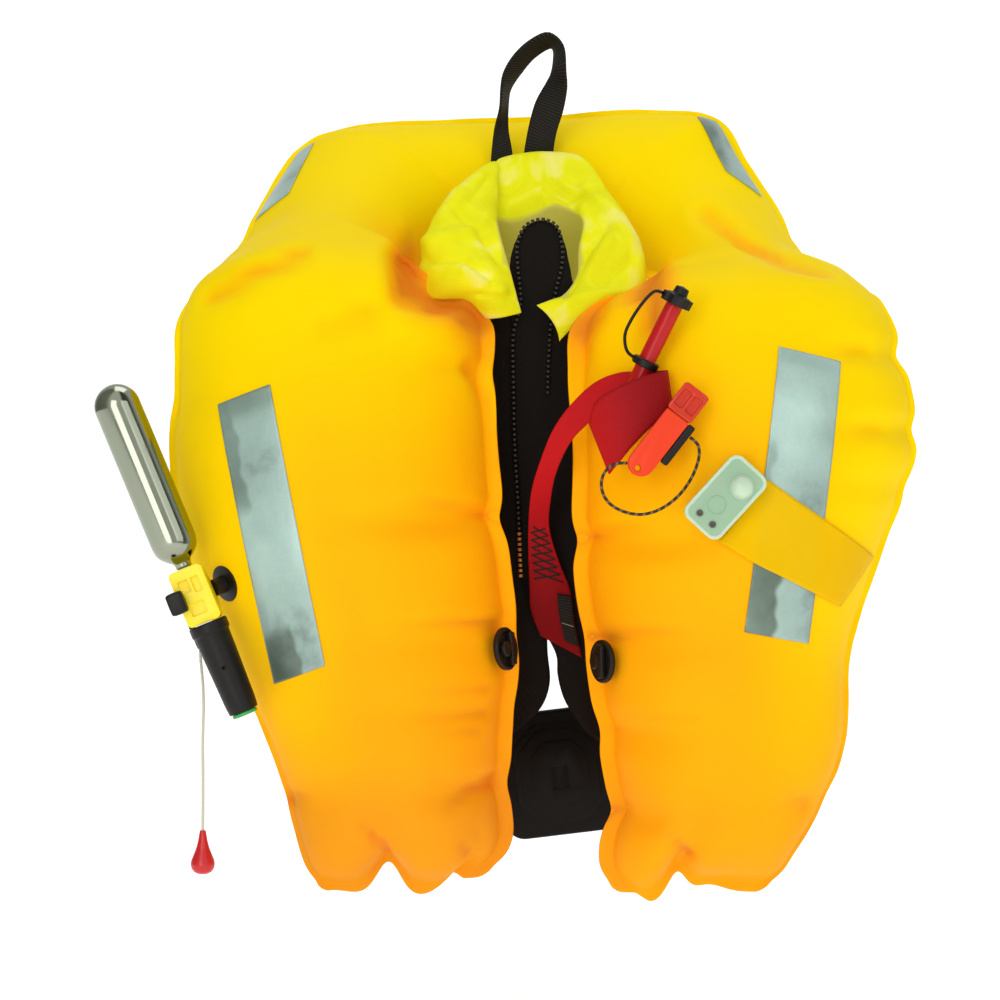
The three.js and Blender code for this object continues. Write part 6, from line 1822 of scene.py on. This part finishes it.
class JACKET_OT_studs(bpy.types.Operator):
    """Two studs on the lobes' inner edges"""
    bl_idname = "jacket.studs"
    bl_label = "Seam studs"

    def execute(self, context):
        black = finish(black_nylon_moulding)
        for side in ("left", "right"):
            place = self.seat(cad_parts[f"seam_stud_{side}"])
            profile = rounded(STUD_DISC, STUD_ROUND)
            disc = turned_object(f"seam stud {side} disc", profile, DISC_SIDES, black, place)
            dress(shade_by_angle(disc), "black_plastic", f"seam_stud_{side}")
            profile = rounded(STUD_BOSS, STUD_ROUND)
            boss = turned_object(f"seam stud {side} boss", profile, BOSS_SIDES, black,
                                 shifted(place, 0, BOSS_ASIDE, 0))
            dress(shade_by_angle(boss), "black_plastic")
            bar = block(f"seam stud {side} bar", BAR, black, shifted(place, *BAR_PLACE) @ FACING)
            dress(shade_by_angle(bar), "black_plastic")
        return {"FINISHED"}

    def seat(self, node):
        """Placement on the solid's own axis: Z outward from its foot, X upward; millimetres."""
        spots = np.array([node.matrix_world @ v.co for v in node.data.vertices]) / MM
        centre = spots.mean(0)
        _, ways = np.linalg.eigh(np.cov((spots - centre).T))
        spans = [np.ptp(spots @ ways[:, k]) for k in range(3)]
        axis = Vector(ways[:, int(np.argmin(spans))])
        axis = axis if axis.y < 0 else -axis
        up = (Vector((0, 0, 1)) - axis * axis.z).normalized()
        foot = Vector(centre) + axis * float(((spots - centre) @ np.array(axis)).min())
        turn = Matrix((up, axis.cross(up), axis)).transposed().to_4x4()
        return Matrix.Translation(foot) @ turn


# Pad: middle and turn; it as a block, and its front
PAD_AT, PAD_TURN = (21.5, 250, -450), -0.12
PAD, PAD_FRONT = (107, 112, 17, 9, 3), -4.5
# Nested raised plates on the pad: width, height, chamfer, height above the pad
PAD_PLATES = [(80, 90, 20, 1.4), (68, 78, 17, 2.8), (50, 56, 13, 4.2)]
# Corners of a chamfered plate: sides in X and Z, and whether the chamfer is taken off in X or Z
PLATE_CORNERS = (
    (1, -1, 0), (1, -1, 1), (1, 1, 1), (1, 1, 0), (-1, 1, 0), (-1, 1, 1), (-1, -1, 1), (-1, -1, 0))
PLATE_BEVEL, PLATE_BEVEL_DEGREES = 1.0, 40
# Slits in the last plate: one as a block, each one's way from the middle, and height
SLIT, SLIT_ASIDE, SLIT_RISE = (3, 20, 1, THROUGH, 0), 5.5, -4


class JACKET_OT_back_pad(bpy.types.Operator):
    """Moulded pad at the back of the belt"""
    bl_idname = "jacket.back_pad"
    bl_label = "Back pad"

    def execute(self, context):
        place = placed(PAD_AT, PAD_TURN)
        foam = finish(foam_pad)
        pad = block("back pad moulding", PAD, foam, place, CORNER_POINTS)
        dress(shade_by_angle(pad), "black_plastic", "back_pad")
        front = shifted(place, 0, PAD_FRONT, 0)
        for k, (wide, high, chamfer, rise) in enumerate(PAD_PLATES):
            w, h = wide / 2, high / 2
            outline = [(x * (w - chamfer * (1 - e)), z * (h - chamfer * e)) for x, z, e in PLATE_CORNERS]
            plate = slab_object(f"back pad plate {k + 1}", outline, 2 * rise, 0, foam, front)
            if k == len(PAD_PLATES) - 1:
                cut(plate, *[block("slit", SLIT, foam, shifted(front, side * SLIT_ASIDE, 0, SLIT_RISE))
                             for side in (-1, 1)])
            bevelled(plate, PLATE_BEVEL, degrees=PLATE_BEVEL_DEGREES)
            dress(shade_by_angle(plate), "black_plastic")
        return {"FINISHED"}


STEPS = (
    JACKET_OT_stage, JACKET_OT_cords, JACKET_OT_bladder, JACKET_OT_tapes, JACKET_OT_collar,
    JACKET_OT_fronts, JACKET_OT_webbing, JACKET_OT_oral_valve, JACKET_OT_whistle, JACKET_OT_rescue_light,
    JACKET_OT_inflator, JACKET_OT_studs, JACKET_OT_back_pad,
)


class JACKET_PT_panel(bpy.types.Panel):
    """The jacket's sizes, colours and pieces"""
    bl_idname = "JACKET_PT_panel"
    bl_label = "Life jacket"
    bl_space_type = "VIEW_3D"
    bl_region_type = "UI"
    bl_category = "Life jacket"

    def draw(self, context):
        for group in (context.scene.jacket_sizes, context.scene.jacket_colours):
            box = self.layout.box()
            for name in group.__annotations__:
                box.prop(group, name)
        for step in STEPS:
            self.layout.operator(step.bl_idname)


CLASSES = (JacketSizes, JacketColours) + STEPS + (JACKET_PT_panel,)


def register():
    for cls in CLASSES:
        bpy.utils.register_class(cls)
    bpy.types.Scene.jacket_sizes = bpy.props.PointerProperty(type=JacketSizes)
    bpy.types.Scene.jacket_colours = bpy.props.PointerProperty(type=JacketColours)


def unregister():
    del bpy.types.Scene.jacket_colours
    del bpy.types.Scene.jacket_sizes
    for cls in reversed(CLASSES):
        bpy.utils.unregister_class(cls)


def main():
    register()
    for step in STEPS:
        group, name = step.bl_idname.split(".")
        if getattr(getattr(bpy.ops, group), name)() != {"FINISHED"}:
            raise RuntimeError(f"{step.bl_label} did not finish")


if __name__ == "__main__":
    main()
